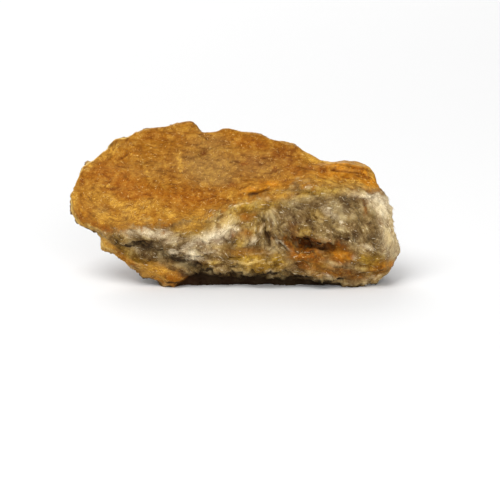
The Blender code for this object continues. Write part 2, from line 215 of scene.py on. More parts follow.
# Where the front's colours lie, each a place across and up, half sizes, a turn and an amount.
PATCHES: dict[Mark, tuple[Patch, ...]] = {
    Mark.SHEET: (
        Patch("lip", -16.0, 1.2, 5.5, 2.0, -12, 1.0),
        Patch("lip end", -11.5, -0.5, 3.5, 1.2, -6, 1.0),
        Patch("rim below", -27.0, 6.8, 3.5, 1.3, -38, 1.0),
        Patch("rim below the recess", -23.0, 3.8, 2.5, 0.9, -33, 0.9),
        Patch("fibres over the white", -9.5, 10.8, 3.5, 1.2, 8, 0.6),
        Patch("fibres at the ledge", 8.5, 17.5, 4.0, 1.2, 5, 0.9),
        Patch("fibres at the rust spot", 2.2, 13.2, 2.0, 1.3, 0, 0.7),
        Patch("fibres before the crevice", 2.0, 9.3, 1.6, 1.2, 0, 0.5),
        Patch("fibres at the low ledge", 2.5, 5.5, 4.5, 0.9, 0, 0.6),
        Patch("fibres in the rust", 15.0, 4.6, 4.0, 1.6, -6, 0.9),
        Patch("fibres right in the rust", 22.0, 5.0, 3.0, 1.8, -18, 0.9),
        Patch("fibres by the fan", 11.5, 7.3, 1.6, 1.0, -20, 0.8),
        Patch("fibres at the foot", 20.0, 1.5, 6.0, 1.2, -8, 0.7),
        Patch("fibres at the right foot", 30.5, 2.5, 3.0, 1.4, 20, 0.7),
        Patch("fibres along the right brow", 19.5, 20.4, 9.0, 1.2, -3, 0.8),
        Patch("fibres right of the brow", 28.5, 19.3, 2.2, 0.9, -20, 0.8),
    ),
    Mark.OLIVE: (
        Patch("dull middle", -6.0, 23.5, 7.5, 3.6, -5, 1.0),
        Patch("dull middle low", -4.0, 20.5, 4.0, 1.5, 0, 0.5),
        Patch("dull right", 5.0, 23.5, 5.5, 2.6, -15, 0.7),
        Patch("dull left of the flecks", -20.5, 22.0, 2.5, 1.0, 0, 0.5),
        Patch("dull right of the flecks", -16.5, 22.5, 2.0, 2.5, 0, 0.4),
        Patch("dull left band", -28.0, 14.2, 2.0, 0.8, 0, 0.6),
        Patch("dull above the white", -23.0, 13.0, 1.2, 2.0, 10, 0.6),
        Patch("dull top", -5.5, 28.5, 5.0, 1.8, -5, 0.6),
    ),
    Mark.DEEP: (
        Patch("deep left", -26.0, 21.5, 6.0, 3.2, -15, 1.0),
        Patch("deep left low", -20.5, 18.0, 5.0, 2.0, -5, 0.9),
        Patch("deep middle", -10.0, 17.0, 6.5, 2.0, -5, 0.8),
        Patch("deep top", 2.0, 28.5, 3.0, 1.2, -5, 0.5),
        Patch("deep right", 12.5, 21.8, 2.0, 1.0, 0, 0.6),
        Patch("deep by the tip", -30.5, 14.5, 1.5, 1.5, -40, 0.5),
    ),
    # Golden fibres; at the tip, the left rims, the flake and the back layer the gold is painted glow of thin
    # edges.
    Mark.GOLD_AND_PAINTED_GLOW: (
        Patch("gold tip", -33.6, 16.5, 0.8, 1.5, 0, 0.9),
        Patch("gold upper left rim", -30.5, 23.3, 1.5, 0.5, 25, 0.9),
        Patch("gold under the flake", -27.5, 25.5, 2.5, 0.6, 25, 0.7),
        Patch("gold flake", -25.0, 27.4, 1.6, 0.5, 55, 0.9),
        Patch("gold lower left rim", -30.5, 10.0, 2.5, 0.5, -35, 1.0),
        Patch("gold curl", -26.5, 19.3, 2.0, 0.4, -8, 0.7),
        Patch("gold swirl left", -25.5, 16.0, 2.6, 0.9, -30, 0.8),
        Patch("gold swirl", -18.5, 15.3, 3.0, 1.4, 20, 0.8),
        Patch("gold knot", -22.3, 14.6, 2.0, 1.2, 0, 0.8),
        Patch("gold slant", -14.0, 13.6, 2.4, 0.8, -18, 1.0),
        Patch("gold seam", -11.7, 24.0, 0.5, 3.0, 0, 0.8),
        Patch("pale flecks", -18.8, 22.8, 0.4, 2.5, 15, 0.7),
        Patch("gold top left", -12.0, 31.3, 4.0, 0.8, 5, 0.5),
        Patch("gold over the white", -8.5, 12.0, 3.6, 1.8, 8, 0.9),
        Patch("gold brow", 2.0, 16.3, 2.0, 0.8, 0, 0.8),
        Patch("gold above the brow", -1.0, 17.5, 0.8, 1.0, 0, 0.6),
        Patch("gold under the ledge", 9.5, 17.8, 3.0, 1.2, 0, 0.8),
        Patch("gold back layer", 15.5, 25.5, 2.0, 1.2, -15, 1.0),
        Patch("gold back layer right", 18.5, 24.5, 2.5, 0.7, -10, 0.9),
        Patch("gold brow right", 21.5, 20.4, 7.0, 1.2, -3, 0.9),
        Patch("gold at the left", -29.5, 17.0, 2.0, 3.0, 0, 0.5),
        Patch("gold low left", -27.0, 12.6, 3.5, 1.2, -25, 0.7),
        Patch("gold above the white", -20.5, 12.4, 4.0, 1.0, -5, 0.8),
        Patch("gold shoulder", 26.0, 20.0, 3.0, 0.8, -12, 0.7),
        Patch("gold corner", 28.6, 21.8, 0.9, 2.0, 0, 1.0),
        Patch("gold lip", -16.5, 1.5, 3.8, 1.2, -8, 1.0),
        Patch("gold rim below", -27.0, 7.0, 2.0, 0.9, -35, 0.9),
    ),
    # Red-brown stain; the red ridge, red ridge below, red at the strip's foot, red under the strip, red under
    # the corner and red under the recess are painted shade.
    Mark.RED: (
        Patch("red top left", -17.5, 29.7, 1.8, 1.0, 0, 0.6),
        Patch("red top", -12.0, 30.3, 2.0, 0.7, 0, 0.4),
        Patch("red right top", 9.5, 25.8, 3.6, 1.7, -15, 0.8),
        Patch("brown top", 5.0, 27.8, 1.2, 0.6, 0, 0.7),
        Patch("brown weave", 3.3, 24.4, 3.0, 2.4, -8, 0.5),
        Patch("red right middle", 12.0, 23.0, 3.0, 1.0, -5, 0.45),
        Patch("red under the strip", 17.0, 22.6, 3.5, 0.5, -8, 0.6),
        Patch("brown fleck", 1.8, 24.2, 1.0, 0.5, 0, 0.6),
        Patch("brown fleck right", 8.0, 23.3, 0.4, 1.0, 0, 0.6),
        Patch("brown pit", -6.6, 26.4, 0.8, 0.5, 45, 0.9),
        Patch("red ridge", 22.5, 23.0, 4.5, 0.35, -3, 0.9),
        Patch("red at the strip's foot", 16.5, 23.2, 2.6, 0.4, -14, 0.8),
        Patch("red under the corner", 27.6, 21.3, 1.2, 0.35, -20, 0.8),
        Patch("red ridge below", 24.5, 21.4, 2.5, 0.4, 5, 0.9),
        Patch("red under the recess", -10.5, 0.8, 2.5, 1.0, -10, 0.9),
        Patch("brown left edge", -32.2, 20.3, 0.4, 1.0, 0, 0.8),
        Patch("brown tip edge", -33.0, 13.3, 1.6, 0.4, -55, 0.8),
        Patch("brown lower left", -28.5, 10.8, 2.5, 0.6, -28, 0.8),
        Patch("brown by the white", -26.0, 9.8, 1.0, 0.5, -15, 0.7),
        Patch("brown ledge middle", -1.0, 19.5, 1.0, 0.5, 20, 0.7),
        Patch("brown above the slant", -12.5, 14.6, 2.0, 0.4, -8, 0.6),
    ),
    # White quartz. The glint, the sparkle, the fan, ledge and knob edges and the top of the bulge (white
    # shoulder, white right corner) are painted highlights; the white right rim is painted glow.
    Mark.WHITE: (
        Patch("white knob", -18.8, 9.7, 2.2, 0.8, -20, 0.7),
        Patch("white middle", -15.3, 9.3, 2.2, 0.9, 10, 0.6),
        Patch("white left", -23.0, 9.4, 2.2, 0.9, 0, 0.5),
        Patch("pale below the knob", -21.5, 6.3, 2.0, 0.8, -25, 0.35),
        Patch("pale middle", -4.8, 7.2, 2.4, 1.6, 15, 0.4),
        Patch("white under the middle", -13.6, 7.9, 2.2, 0.8, 10, 0.5),
        Patch("white bead left", -13.0, 5.6, 1.0, 0.4, 0, 1.0),
        Patch("white slant", -10.3, 6.6, 1.9, 0.6, 25, 0.8),
        Patch("white toe", -8.8, 4.6, 1.7, 1.2, -40, 1.0),
        Patch("white right", -5.0, 8.9, 4.0, 1.7, 14, 0.85),
        Patch("white upper right", -2.0, 12.3, 2.8, 1.8, 30, 0.6),
        Patch("white by the fleck", -0.2, 10.3, 0.9, 0.9, 0, 0.9),
        Patch("pale line at the brow", 0.3, 15.2, 1.5, 0.4, 10, 0.8),
        Patch("white low", -6.0, 3.3, 1.0, 0.5, 0, 0.8),
        Patch("white low right", -5.5, 5.4, 1.5, 0.5, 0, 0.6),
        Patch("white before the crevice", 3.8, 8.0, 1.1, 0.8, 50, 0.9),
        Patch("white above it", 5.3, 10.2, 1.0, 0.5, 80, 0.7),
        Patch("glint", 6.7, 16.8, 0.5, 0.4, 0, 1.0),
        Patch("white bead", 7.8, 14.5, 0.8, 0.6, 0, 0.5),
        Patch("fan edge", 9.6, 7.3, 1.9, 0.3, -38, 1.0),
        Patch("fibre along the ledge", 2.5, 3.3, 4.5, 0.22, -2, 0.8),
        Patch("fibre above the ledge", 4.0, 5.2, 3.0, 0.2, 4, 0.6),
        Patch("ledge edge", 4.8, 3.9, 1.5, 0.3, 0, 1.0),
        Patch("knob edge", 7.0, 1.4, 0.9, 0.3, 0, 0.7),
        Patch("white on the bulge", 19.7, 13.7, 2.2, 0.6, -32, 0.45),
        Patch("sparkle", 22.2, 11.8, 0.5, 0.4, 0, 1.0),
        Patch("white low on the bulge", 28.0, 6.5, 1.3, 0.5, -33, 0.45),
        Patch("white by the rust", 24.8, 4.6, 0.8, 0.5, 0, 0.7),
        Patch("white right rim", 32.8, 10.5, 2.4, 6.5, 4, 0.95),
        Patch("white rim bead", 31.0, 13.7, 0.9, 0.5, -20, 0.9),
        Patch("white right corner", 30.0, 16.3, 3.0, 1.8, -40, 0.9),
        Patch("white shoulder", 25.2, 17.9, 3.4, 0.9, -10, 0.7),
        Patch("white shoulder knob", 15.0, 19.2, 0.9, 0.6, 0, 0.9),
        Patch("right underside edge", 29.5, 0.8, 1.3, 0.3, 10, 0.9),
        Patch("bright foot streak", 19.3, 0.5, 1.1, 0.3, -28, 1.0),
    ),
    # Grey quartz on the bulge; the grey recess, grey recess right, grey left and grey under the white are
    # painted shade.
    Mark.GREY_AND_PAINTED_SHADE: (
        Patch("grey recess", -17.8, 6.4, 2.6, 0.8, -5, 0.9),
        Patch("grey left", -23.5, 7.8, 1.6, 0.7, -20, 0.3),
        Patch("grey under the white", -14.0, 7.4, 2.2, 0.7, 5, 0.2),
        Patch("grey recess right", -12.0, 4.4, 3.0, 0.9, -15, 1.0),
        Patch("grey bulge left", 13.0, 15.2, 1.8, 0.9, -10, 0.6),
        Patch("grey bulge flank", 12.2, 11.8, 2.5, 1.2, -60, 0.5),
        Patch("grey bulge top", 22.8, 16.7, 1.6, 1.1, 0, 0.8),
        Patch("grey bulge middle", 23.0, 14.5, 1.2, 1.1, 0, 0.8),
        Patch("grey bulge spot", 16.0, 12.0, 0.9, 0.7, 0, 0.7),
        Patch("grey bulge low", 25.0, 8.6, 1.8, 1.1, 0, 0.7),
        Patch("grey right", 28.3, 8.7, 1.0, 1.0, 0, 0.5),
    ),
    # Painted shade in the recesses, the crevice, the cracks, and under the ledges and the fan.
    Mark.DARK: (
        Patch("recess floor", -11.5, 4.0, 3.0, 0.5, -12, 0.8),
        Patch("under the lip's end", -9.3, 0.8, 2.4, 0.8, -8, 0.75),
        Patch("under the toe", -8.0, 2.5, 2.0, 0.5, -6, 1.0),
        Patch("recess left", -18.3, 6.6, 1.9, 0.5, -5, 0.7),
        Patch("crevice shade", 6.7, 8.8, 1.7, 0.4, 100, 0.8),
        Patch("crevice top", 5.5, 12.1, 0.6, 0.4, 0, 0.6),
        Patch("under the fan", 10.0, 6.6, 1.2, 0.4, -35, 0.7),
        Patch("rust crack left", 12.8, 8.3, 1.2, 0.3, -15, 0.4),
        Patch("rust crack", 17.5, 6.6, 2.2, 0.35, -10, 0.6),
        Patch("ledge foot", 3.8, 17.8, 1.3, 0.25, 10, 0.8),
        Patch("spot above the rust", 2.5, 14.2, 1.2, 0.3, -5, 0.6),
        Patch("gap under the flake", -25.9, 27.9, 0.9, 0.35, 50, 0.6),
        Patch("shelf shade", 22.5, 2.4, 2.0, 0.4, -5, 0.7),
    ),
    Mark.RUST: (
        Patch("rust middle", 15.0, 5.2, 3.8, 1.9, -8, 1.0),
        Patch("rust right", 22.3, 4.6, 3.0, 1.6, -20, 1.0),
        Patch("rust above", 21.5, 7.2, 2.2, 1.0, -10, 0.8),
        Patch("rust in the crack", 15.5, 7.7, 5.0, 1.1, -11, 0.9),
        Patch("rust up the flank", 12.0, 10.5, 1.0, 2.0, 25, 0.45),
        Patch("rust by the crevice", 7.2, 8.5, 0.7, 1.6, 10, 0.5),
        Patch("rust by the fan", 11.3, 7.6, 1.6, 1.1, -35, 0.9),
        Patch("rust spot", 2.3, 13.3, 1.5, 1.1, 0, 0.55),
        Patch("rust fleck", -0.7, 8.8, 0.8, 0.5, 0, 1.0),
        Patch("rust before the crevice", 2.2, 9.5, 1.2, 0.9, 0, 0.5),
        Patch("rust band", 3.0, 6.0, 3.0, 0.5, 0, 0.5),
        Patch("brown spot", 27.0, 15.0, 0.6, 1.6, 5, 0.8),
        Patch("rust tip", 33.3, 3.1, 1.0, 0.5, 45, 1.0),
        Patch("rust under the tip", 31.0, 2.2, 2.6, 1.0, 22, 0.9),
        Patch("rust foot", 20.0, 1.7, 4.0, 1.1, -8, 0.7),
        Patch("rust foot right", 25.0, 0.8, 2.8, 0.9, -8, 0.7),
        Patch("rust shelf", 14.0, 2.6, 2.2, 0.9, 0, 0.6),
        Patch("rust under the knob", 14.2, 5.2, 2.4, 1.2, -10, 0.8),
        Patch("rust lip end", -14.0, 0.3, 2.3, 0.7, -15, 0.9),
        Patch("rust foot left", -11.5, -1.3, 2.5, 0.4, -5, 0.8),
    ),
    Mark.ORANGE: (
        Patch("orange ledge", 3.2, 18.5, 2.0, 0.6, 6, 1.0),
        Patch("orange above the ledge", 7.0, 19.8, 2.5, 0.7, 5, 0.8),
        Patch("orange brow right", 28.0, 20.0, 2.0, 0.9, -15, 0.9),
        Patch("orange strip", 22.5, 23.6, 4.6, 0.8, -3, 1.0),
        Patch("orange strip low", 21.0, 21.9, 4.5, 0.7, -6, 0.5),
        Patch("orange corner", 26.9, 22.6, 0.9, 0.8, 0, 0.8),
        Patch("orange in the rust", 22.0, 5.0, 2.2, 0.8, -22, 0.65),
        Patch("orange at the right tip", 32.3, 2.9, 1.8, 0.7, 30, 0.6),
    ),
    Mark.TINGE: (
        Patch("tinge above the lip", -19.5, 3.7, 3.5, 0.7, -15, 0.9),
        Patch("tinge left", -22.5, 5.6, 2.5, 1.2, -30, 0.8),
        Patch("tinge olive ledge", -5.5, 2.9, 2.2, 0.8, 0, 0.8),
        Patch("tinge band", 4.5, 3.2, 6.5, 1.6, -3, 0.6),
        Patch("tinge middle", 2.5, 4.5, 4.0, 1.3, 0, 0.9),
        Patch("tinge column", 1.0, 7.3, 1.0, 1.5, 0, 0.8),
        Patch("tinge knob", 5.5, 2.3, 2.0, 1.0, 0, 1.0),
        Patch("tinge knob right", 9.0, 4.0, 1.5, 1.5, 0, 0.8),
        Patch("tinge over the white", -8.0, 10.6, 2.0, 0.7, 0, 0.6),
        Patch("tinge by the white", -12.5, 10.2, 1.3, 0.5, 0, 0.7),
        Patch("tinge foot", 17.5, 2.8, 1.8, 0.7, -5, 0.8),
        Patch("tinge by the rust", 26.5, 4.5, 1.6, 0.8, 0, 0.6),
        Patch("tinge right", 28.0, 3.8, 3.0, 1.6, 10, 0.9),
        Patch("tinge right foot", 30.5, 2.2, 3.0, 1.6, 15, 0.8),
        Patch("tinge rim", 32.6, 10.5, 1.8, 5.0, 0, 0.45),
        Patch("tinge under the brow left", -8.0, 10.2, 4.0, 1.4, 12, 0.7),
        Patch("tinge under the rising brow", -1.0, 13.5, 4.5, 2.0, 25, 0.9),
        Patch("tinge under the brow", 5.5, 15.2, 4.5, 1.6, 8, 0.8),
        Patch("tinge by the crevice", 3.0, 11.0, 3.0, 2.4, 0, 0.6),
        Patch("tinge at the left", -24.5, 8.8, 2.5, 1.2, -20, 0.5),
        Patch("tinge under the white", -3.5, 6.6, 3.0, 0.8, 0, 0.5),
        Patch("tinge shoulder", 20.0, 18.6, 7.0, 1.3, 0, 0.8),
        Patch("tinge bulge top", 14.5, 17.5, 2.5, 0.9, 10, 0.5),
        Patch("tinge bulge middle", 17.0, 13.0, 1.8, 1.4, -20, 0.35),
        Patch("tinge bulge low", 14.5, 9.8, 2.4, 1.0, -20, 0.6),
    ),
}

# What lies on the sides that no patch reaches.
BLOTCHES: dict[Mark, Blotch] = {
    Mark.OLIVE: Blotch(14.0, 11.0, 0.0, 0.7),
    Mark.DEEP: Blotch(10.0, 23.0, 0.1, 0.8),
    Mark.GOLD_AND_PAINTED_GLOW: Blotch(7.0, 31.0, 0.25, 0.8),
    Mark.RED: Blotch(6.0, 47.0, 0.4, 0.8),
    Mark.WHITE: Blotch(12.0, 59.0, 0.2, 1.0, 0.7),
    Mark.GREY_AND_PAINTED_SHADE: Blotch(9.0, 67.0, 0.1, 0.7, 0.5),
    # The painted shade also lies in dark spots on the other sides.
    Mark.DARK: Blotch(5.0, 71.0, 0.7, 1.1, 0.6),
    Mark.RUST: Blotch(8.0, 83.0, 0.2, 0.8),
    Mark.TINGE: Blotch(9.0, 97.0, 0.2, 0.8),
    Mark.ORANGE: Blotch(7.0, 109.0, 0.5, 0.9),
}

# Fine cracks and breaks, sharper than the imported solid's own.
SEAMS = (
    Seam("crevice", ((5.2, 12.5), (6.2, 11.0), (6.4, 9.0), (7.2, 7.0)), 0.30, 0.6),
    Seam("rust crack", ((11.5, 8.5), (14.0, 7.5), (17.0, 6.5), (21.0, 6.0)), 0.25, 0.5),
    Seam("ledge foot", ((1.5, 17.8), (4.5, 17.9), (7.0, 18.8)), 0.25, 0.6),
    Seam("slant foot", ((-16.0, 13.5), (-14.0, 12.6), (-12.5, 12.3)), 0.25, 0.4),
    Seam("sheet pit", ((-7.4, 26.0), (-6.2, 27.0)), 0.45, 0.5),
    Seam("ridge crack", ((20.0, 22.8), (23.0, 22.7), (27.0, 22.0)), 0.25, 0.6),
    Seam("ridge crack right", ((24.5, 23.4), (27.0, 23.3), (28.6, 22.4)), 0.25, 0.5),
    Seam("strip foot", ((13.5, 23.6), (17.0, 23.0), (20.0, 21.6), (22.5, 20.6)), 0.30, 0.5),
    Seam("brow break", ((17.0, 21.4), (19.5, 21.2), (22.0, 20.2)), 0.25, 0.4),
    Seam("ridge crack below", ((22.0, 21.5), (24.5, 21.4), (26.5, 21.5)), 0.25, 0.5),
    Seam("recess seam", ((-21.0, 7.2), (-17.5, 7.6), (-14.5, 6.0)), 0.25, 0.4),
    Seam("under the fan", ((8.3, 8.0), (9.5, 7.0), (10.8, 5.8)), 0.25, 0.5),
)

# How the fibres run: places on the front, across and up, and the fibres' angle there in degrees.
STROKES = (
    Stroke("upper left", -29.0, 24.0, -10), Stroke("deep left", -26.0, 22.0, -10),
    Stroke("left edge", -30.0, 20.0, -25), Stroke("curl", -27.0, 19.0, -8),
    Stroke("tip", -33.5, 16.5, -80), Stroke("below the tip", -32.0, 13.5, -55),
    Stroke("lower left rim", -29.0, 11.0, -28), Stroke("swirl left", -26.0, 16.0, -30),
    Stroke("knot", -22.0, 15.0, 15), Stroke("swirl", -18.5, 16.0, 20),
    Stroke("left of the flecks", -22.0, 21.0, -5), Stroke("under the top left", -20.0, 26.0, -10),
    Stroke("flake", -24.8, 27.5, 60), Stroke("top left", -16.0, 30.0, -5),
    Stroke("by the seam", -11.0, 28.0, -3), Stroke("dull middle", -8.0, 23.0, -8),
    Stroke("dull low", -5.0, 21.0, -3), Stroke("deep middle", -8.0, 17.0, -15),
    Stroke("slant", -14.0, 13.5, -18), Stroke("over the white", -9.0, 12.0, 10),
    Stroke("rising brow", -5.0, 15.0, 28), Stroke("middle", -2.0, 18.0, 10),
    Stroke("upper middle", -2.0, 25.5, 5), Stroke("top", 3.0, 28.5, -8),
    Stroke("right of the middle", 3.0, 24.0, -10), Stroke("red top", 8.0, 26.0, -15),
    Stroke("ledge", 3.5, 18.7, 8), Stroke("above the ledge", 7.0, 20.0, 5),
    Stroke("lower right sheet", 10.0, 22.0, -5), Stroke("top right", 12.0, 27.0, -20),
    Stroke("right sheet", 15.0, 23.0, -5), Stroke("back layer", 17.0, 25.5, -22),
    Stroke("strip", 22.0, 23.0, -2), Stroke("under the strip", 20.0, 21.0, -30),
    Stroke("brow right", 25.0, 20.5, -12), Stroke("corner", 28.3, 22.0, -70),
    Stroke("grey left", -23.0, 8.5, -15), Stroke("white knob", -18.5, 9.5, -25),
    Stroke("white middle", -15.0, 9.5, 5), Stroke("recess", -18.0, 6.5, -8),
    Stroke("bead", -13.0, 5.5, 5), Stroke("white slant", -10.5, 6.7, 30),
    Stroke("toe", -8.5, 4.5, -45), Stroke("white right", -5.0, 8.5, 20),
    Stroke("white upper right", -3.0, 11.0, 40), Stroke("by the fleck", 0.0, 10.5, 60),
    Stroke("under the white", -3.0, 5.0, -25), Stroke("olive ledge", -5.0, 3.0, 0),
    Stroke("low ledge", 1.0, 4.5, 0), Stroke("before the crevice", 2.5, 9.0, -30),
    Stroke("white before it", 3.8, 8.0, 55), Stroke("rust spot", 2.0, 13.5, -5),
    Stroke("crevice left", 5.4, 10.5, 80), Stroke("crevice", 6.8, 8.5, 100),
    Stroke("fan", 8.5, 10.5, -55), Stroke("fan foot", 10.0, 8.0, -45),
    Stroke("bulge flank", 12.0, 13.0, -60), Stroke("bulge upper left", 11.0, 16.0, 20),
    Stroke("bulge top", 15.5, 17.5, 0), Stroke("shoulder knob", 15.0, 19.3, 10),
    Stroke("bulge middle", 18.5, 14.0, -20), Stroke("bulge streak", 21.0, 13.5, -35),
    Stroke("bulge low", 17.0, 10.5, -15), Stroke("bulge low right", 22.0, 9.5, -15),
    Stroke("shoulder", 24.5, 17.5, -15), Stroke("bulge upper right", 23.0, 15.5, -35),
    Stroke("brown spot", 26.8, 15.0, 85), Stroke("right corner", 29.5, 17.0, -38),
    Stroke("rim top", 31.5, 14.0, -45), Stroke("rim", 33.0, 9.0, -88),
    Stroke("right flank", 28.5, 12.0, -60), Stroke("right low", 26.0, 8.0, -35),
    Stroke("low streak", 28.0, 6.5, -32), Stroke("rust right", 22.0, 5.0, -25),
    Stroke("rust middle", 15.0, 5.0, -8), Stroke("foot", 18.0, 3.0, -10),
    Stroke("foot streak", 19.3, 0.7, -28), Stroke("foot right", 24.0, 0.5, -15),
    Stroke("yellow right", 29.5, 4.0, -10), Stroke("rust tip", 32.5, 2.5, 40),
    Stroke("low knob", 5.5, 2.5, -10), Stroke("knob right", 9.0, 4.0, 20),
    Stroke("lip", -16.5, 1.5, -12), Stroke("above the lip", -21.0, 3.7, -25),
    Stroke("rim below", -26.5, 7.0, -38), Stroke("foot left", -12.0, -1.0, -6),
)

# How far a stroke reaches, and how much of it is left farther off.
STROKE_REACH = 2.4
FAR_STROKE = 1e-6


def smooth_step(value: Field) -> Field:
    """Ease from 0 to 1 while the value goes from 0 to 1."""
    value = np.clip(value, 0.0, 1.0)
    return value * value * (3.0 - 2.0 * value)


def line_height(line: Sequence[tuple[float, float]], across: Field) -> Field:
    """Return how far up a line of the front lies at each place across."""
    line_across, line_up = np.array(line).T
    return np.interp(across, line_across, line_up)


def at_least(least: float, values: Field) -> Field:
    """Return values from 0 to 1 squeezed between a least one and 1."""
    return least + (1.0 - least) * values


def in_layers(points: Field, sizes: tuple[float, float, float]) -> Field:
    """Return points in the layers' directions: along them, up their slope and square to them.

    Args:
        points: Points in millimetres.
        sizes: The unit for each direction, in millimetres.

    Returns:
        The points in those units.
    """
    along, slope, square = sizes
    return points @ np.stack([ALONG / along, LAYER_SLOPE / slope, LAYER_NORMAL / square]).T


def boxed(points: Field, unit: float) -> Field:
    """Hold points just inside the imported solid's box.

    Args:
        points: The points.
        unit: The unit that they are given in, in metres.

    Returns:
        The points, each at the nearest place inside.
    """
    low, high = (np.array(corner) / unit for corner in CAD_BOX)
    margin = BOX_MARGIN * MM / unit
    return np.clip(points, low + margin, high - margin)


def stacked(layers: Sequence[tuple[Relief, Field]]) -> tuple[Field, Field]:
    """Add several kinds of relief together.

    Args:
        layers: Each kind of relief, and its noise at every point.

    Returns:
        The height, and how strongly the hollows are painted in shade.
    """
    height = sum(relief.height * noise for relief, noise in layers)
    shade = sum(relief.shade * noise for relief, noise in layers)
    return height, shade


class Grain:
    """Seeded noise over points in space, worked out for whole arrays at once."""

    CORNERS = tuple(itertools.product((0, 1), repeat=3))
    AROUND = tuple(itertools.product((-1, 0, 1), repeat=3))
    PERIOD = 256
    FULL_SCALE = 1.6
    OCTAVE_SHIFT = 17.0
    COMB_STEPS = 9
    COMB_SCALE = 1.5

    def __init__(self, seed: int) -> None:
        """Shuffle the tables that the noise is read from.

        Args:
            seed: The number that fixes the noise.
        """
        source = np.random.default_rng(seed)
        self.order = source.permutation(self.PERIOD)
        slopes = source.normal(size=(self.PERIOD, 3))
        self.slopes = slopes / np.linalg.norm(slopes, axis=1)[:, None]
        self.spots = source.random((self.PERIOD, 3))
        self.values = source.random(self.PERIOD)

    def _pick(self, cell: Field) -> Field:
        """Return the table index that belongs to each whole-numbered cell."""
        index = self.order[cell[:, 0] % self.PERIOD]
        index = self.order[(index + cell[:, 1]) % self.PERIOD]
        return self.order[(index + cell[:, 2]) % self.PERIOD]

    def wave(self, points: Field) -> Field:
        """Return smooth noise, about -1 to 1.

        Args:
            points: Points in units of the noise's own size.

        Returns:
            One value for each point.
        """
        cell = np.floor(points).astype(int)
        part = points - cell
        ease = part ** 3 * (part * (part * 6.0 - 15.0) + 10.0)
        total = np.zeros(len(points))
        for corner in self.CORNERS:
            slope = self.slopes[self._pick(cell + corner)]
            weight = np.prod(np.where(np.array(corner) == 1, ease, 1.0 - ease), axis=1)
            total += weight * np.sum(slope * (part - corner), axis=1)
        return total * self.FULL_SCALE

    def layered(self, points: Field, octaves: int, fade: float = 0.5) -> Field:
        """Return noise with finer noise added to it.

        Args:
            points: Points in units of the coarsest noise's size.
            octaves: How many sizes, each half the last.
            fade: How strong each finer one is, against the last.

        Returns:
            One value for each point.
        """
        total = np.zeros(len(points))
        strength = 1.0
        for octave in range(octaves):
            total += strength * self.wave(points * 2.0 ** octave + self.OCTAVE_SHIFT * octave)
            strength *= fade
        return total

    def combed(self, points: Field, strand: Field, comb: Comb, start: float = 0.0) -> Field:
        """Return noise drawn out along the fibres.

        Args:
            points: Points in millimetres.
            strand: The fibres' direction at each point.
            comb: How wide the noise is, and how far it is drawn out.
            start: Where in the noise it begins.

        Returns:
            One value for each point, about -0.5 to 0.5.
        """
        places = points / comb.width + start
        reach = comb.reach / comb.width
        total = np.zeros(len(points))
        for shift in np.linspace(-reach, reach, self.COMB_STEPS):
            total += self.wave(places + shift * strand)
        return total / self.COMB_STEPS * self.COMB_SCALE

    def chunks(self, points: Field, tilt: float) -> tuple[Field, Field]:
        """Return broken facets: each cell has its own height and its own slope.

        Args:
            points: Points in units of a cell.
            tilt: How steep the facets are, against their differences in height.

        Returns:
            The height, about -0.5 to 0.5, and how far each point is from its cell's edge.
        """
        cell = np.floor(points).astype(int)
        nearest = np.full(len(points), np.inf)
        second = np.full(len(points), np.inf)
        height = np.zeros(len(points))
        for offset in self.AROUND:
            index = self._pick(cell + offset)
            gap = points - (cell + offset + self.spots[index])
            reach = np.sum(gap * gap, axis=1)
            closer = reach < nearest
            second = np.where(closer, nearest, np.minimum(second, reach))
            here = self.values[index] - 0.5 + tilt * np.sum(gap * self.slopes[index], axis=1)
            height = np.where(closer, here, height)
            nearest = np.where(closer, reach, nearest)
        return height, np.sqrt(second) - np.sqrt(nearest)


class Surface:
    """The points of the rock's skin in millimetres, and where on the front each is seen."""

    def __init__(self, mesh: bpy.types.Mesh) -> None:
        """Read a mesh.

        Args:
            mesh: The skin, in metres.
        """
        self.mesh = mesh
        self.points = self._read("co") / MM
        self.normals = self._read("normal")
        sine, cosine = math.sin(SIGHT_TILT), math.cos(SIGHT_TILT)
        x, y, z = self.points.T
        away = 1.0 + (y * cosine - z * sine) / SIGHT_DISTANCE
        self.across = SIGHT_CENTRE[0] + (x - SIGHT_CENTRE[0]) / away
        self.up = SIGHT_CENTRE[1] + (y * sine + z * cosine - SIGHT_CENTRE[1]) / away
        self.towards = self.normals @ np.array([0.0, -cosine, sine])

    def _read(self, name: str) -> Field:
        """Return a vector of every point."""
        values = np.empty(len(self.mesh.vertices) * 3)
        self.mesh.vertices.foreach_get(name, values)
        return values.reshape(-1, 3)

    def lift(self, height: Field) -> "Surface":
        """Move every point along its normal, and return the surface that results."""
        return self.moved(self.points + self.normals * height[:, None])

    def moved(self, points: Field) -> "Surface":
        """Put every point somewhere else, and return the surface that results."""
        self.mesh.vertices.foreach_set("co", (points * MM).ravel())
        self.mesh.update()
        return Surface(self.mesh)

    def write(self, name: str, values: Field) -> None:
        """Keep a number or a vector for each point, under a name."""
        kind, field = ("FLOAT", "value") if values.ndim == 1 else ("FLOAT_VECTOR", "vector")
        attribute = self.mesh.attributes.new(name, kind, "POINT")
        attribute.data.foreach_set(field, values.astype(np.float32).ravel())


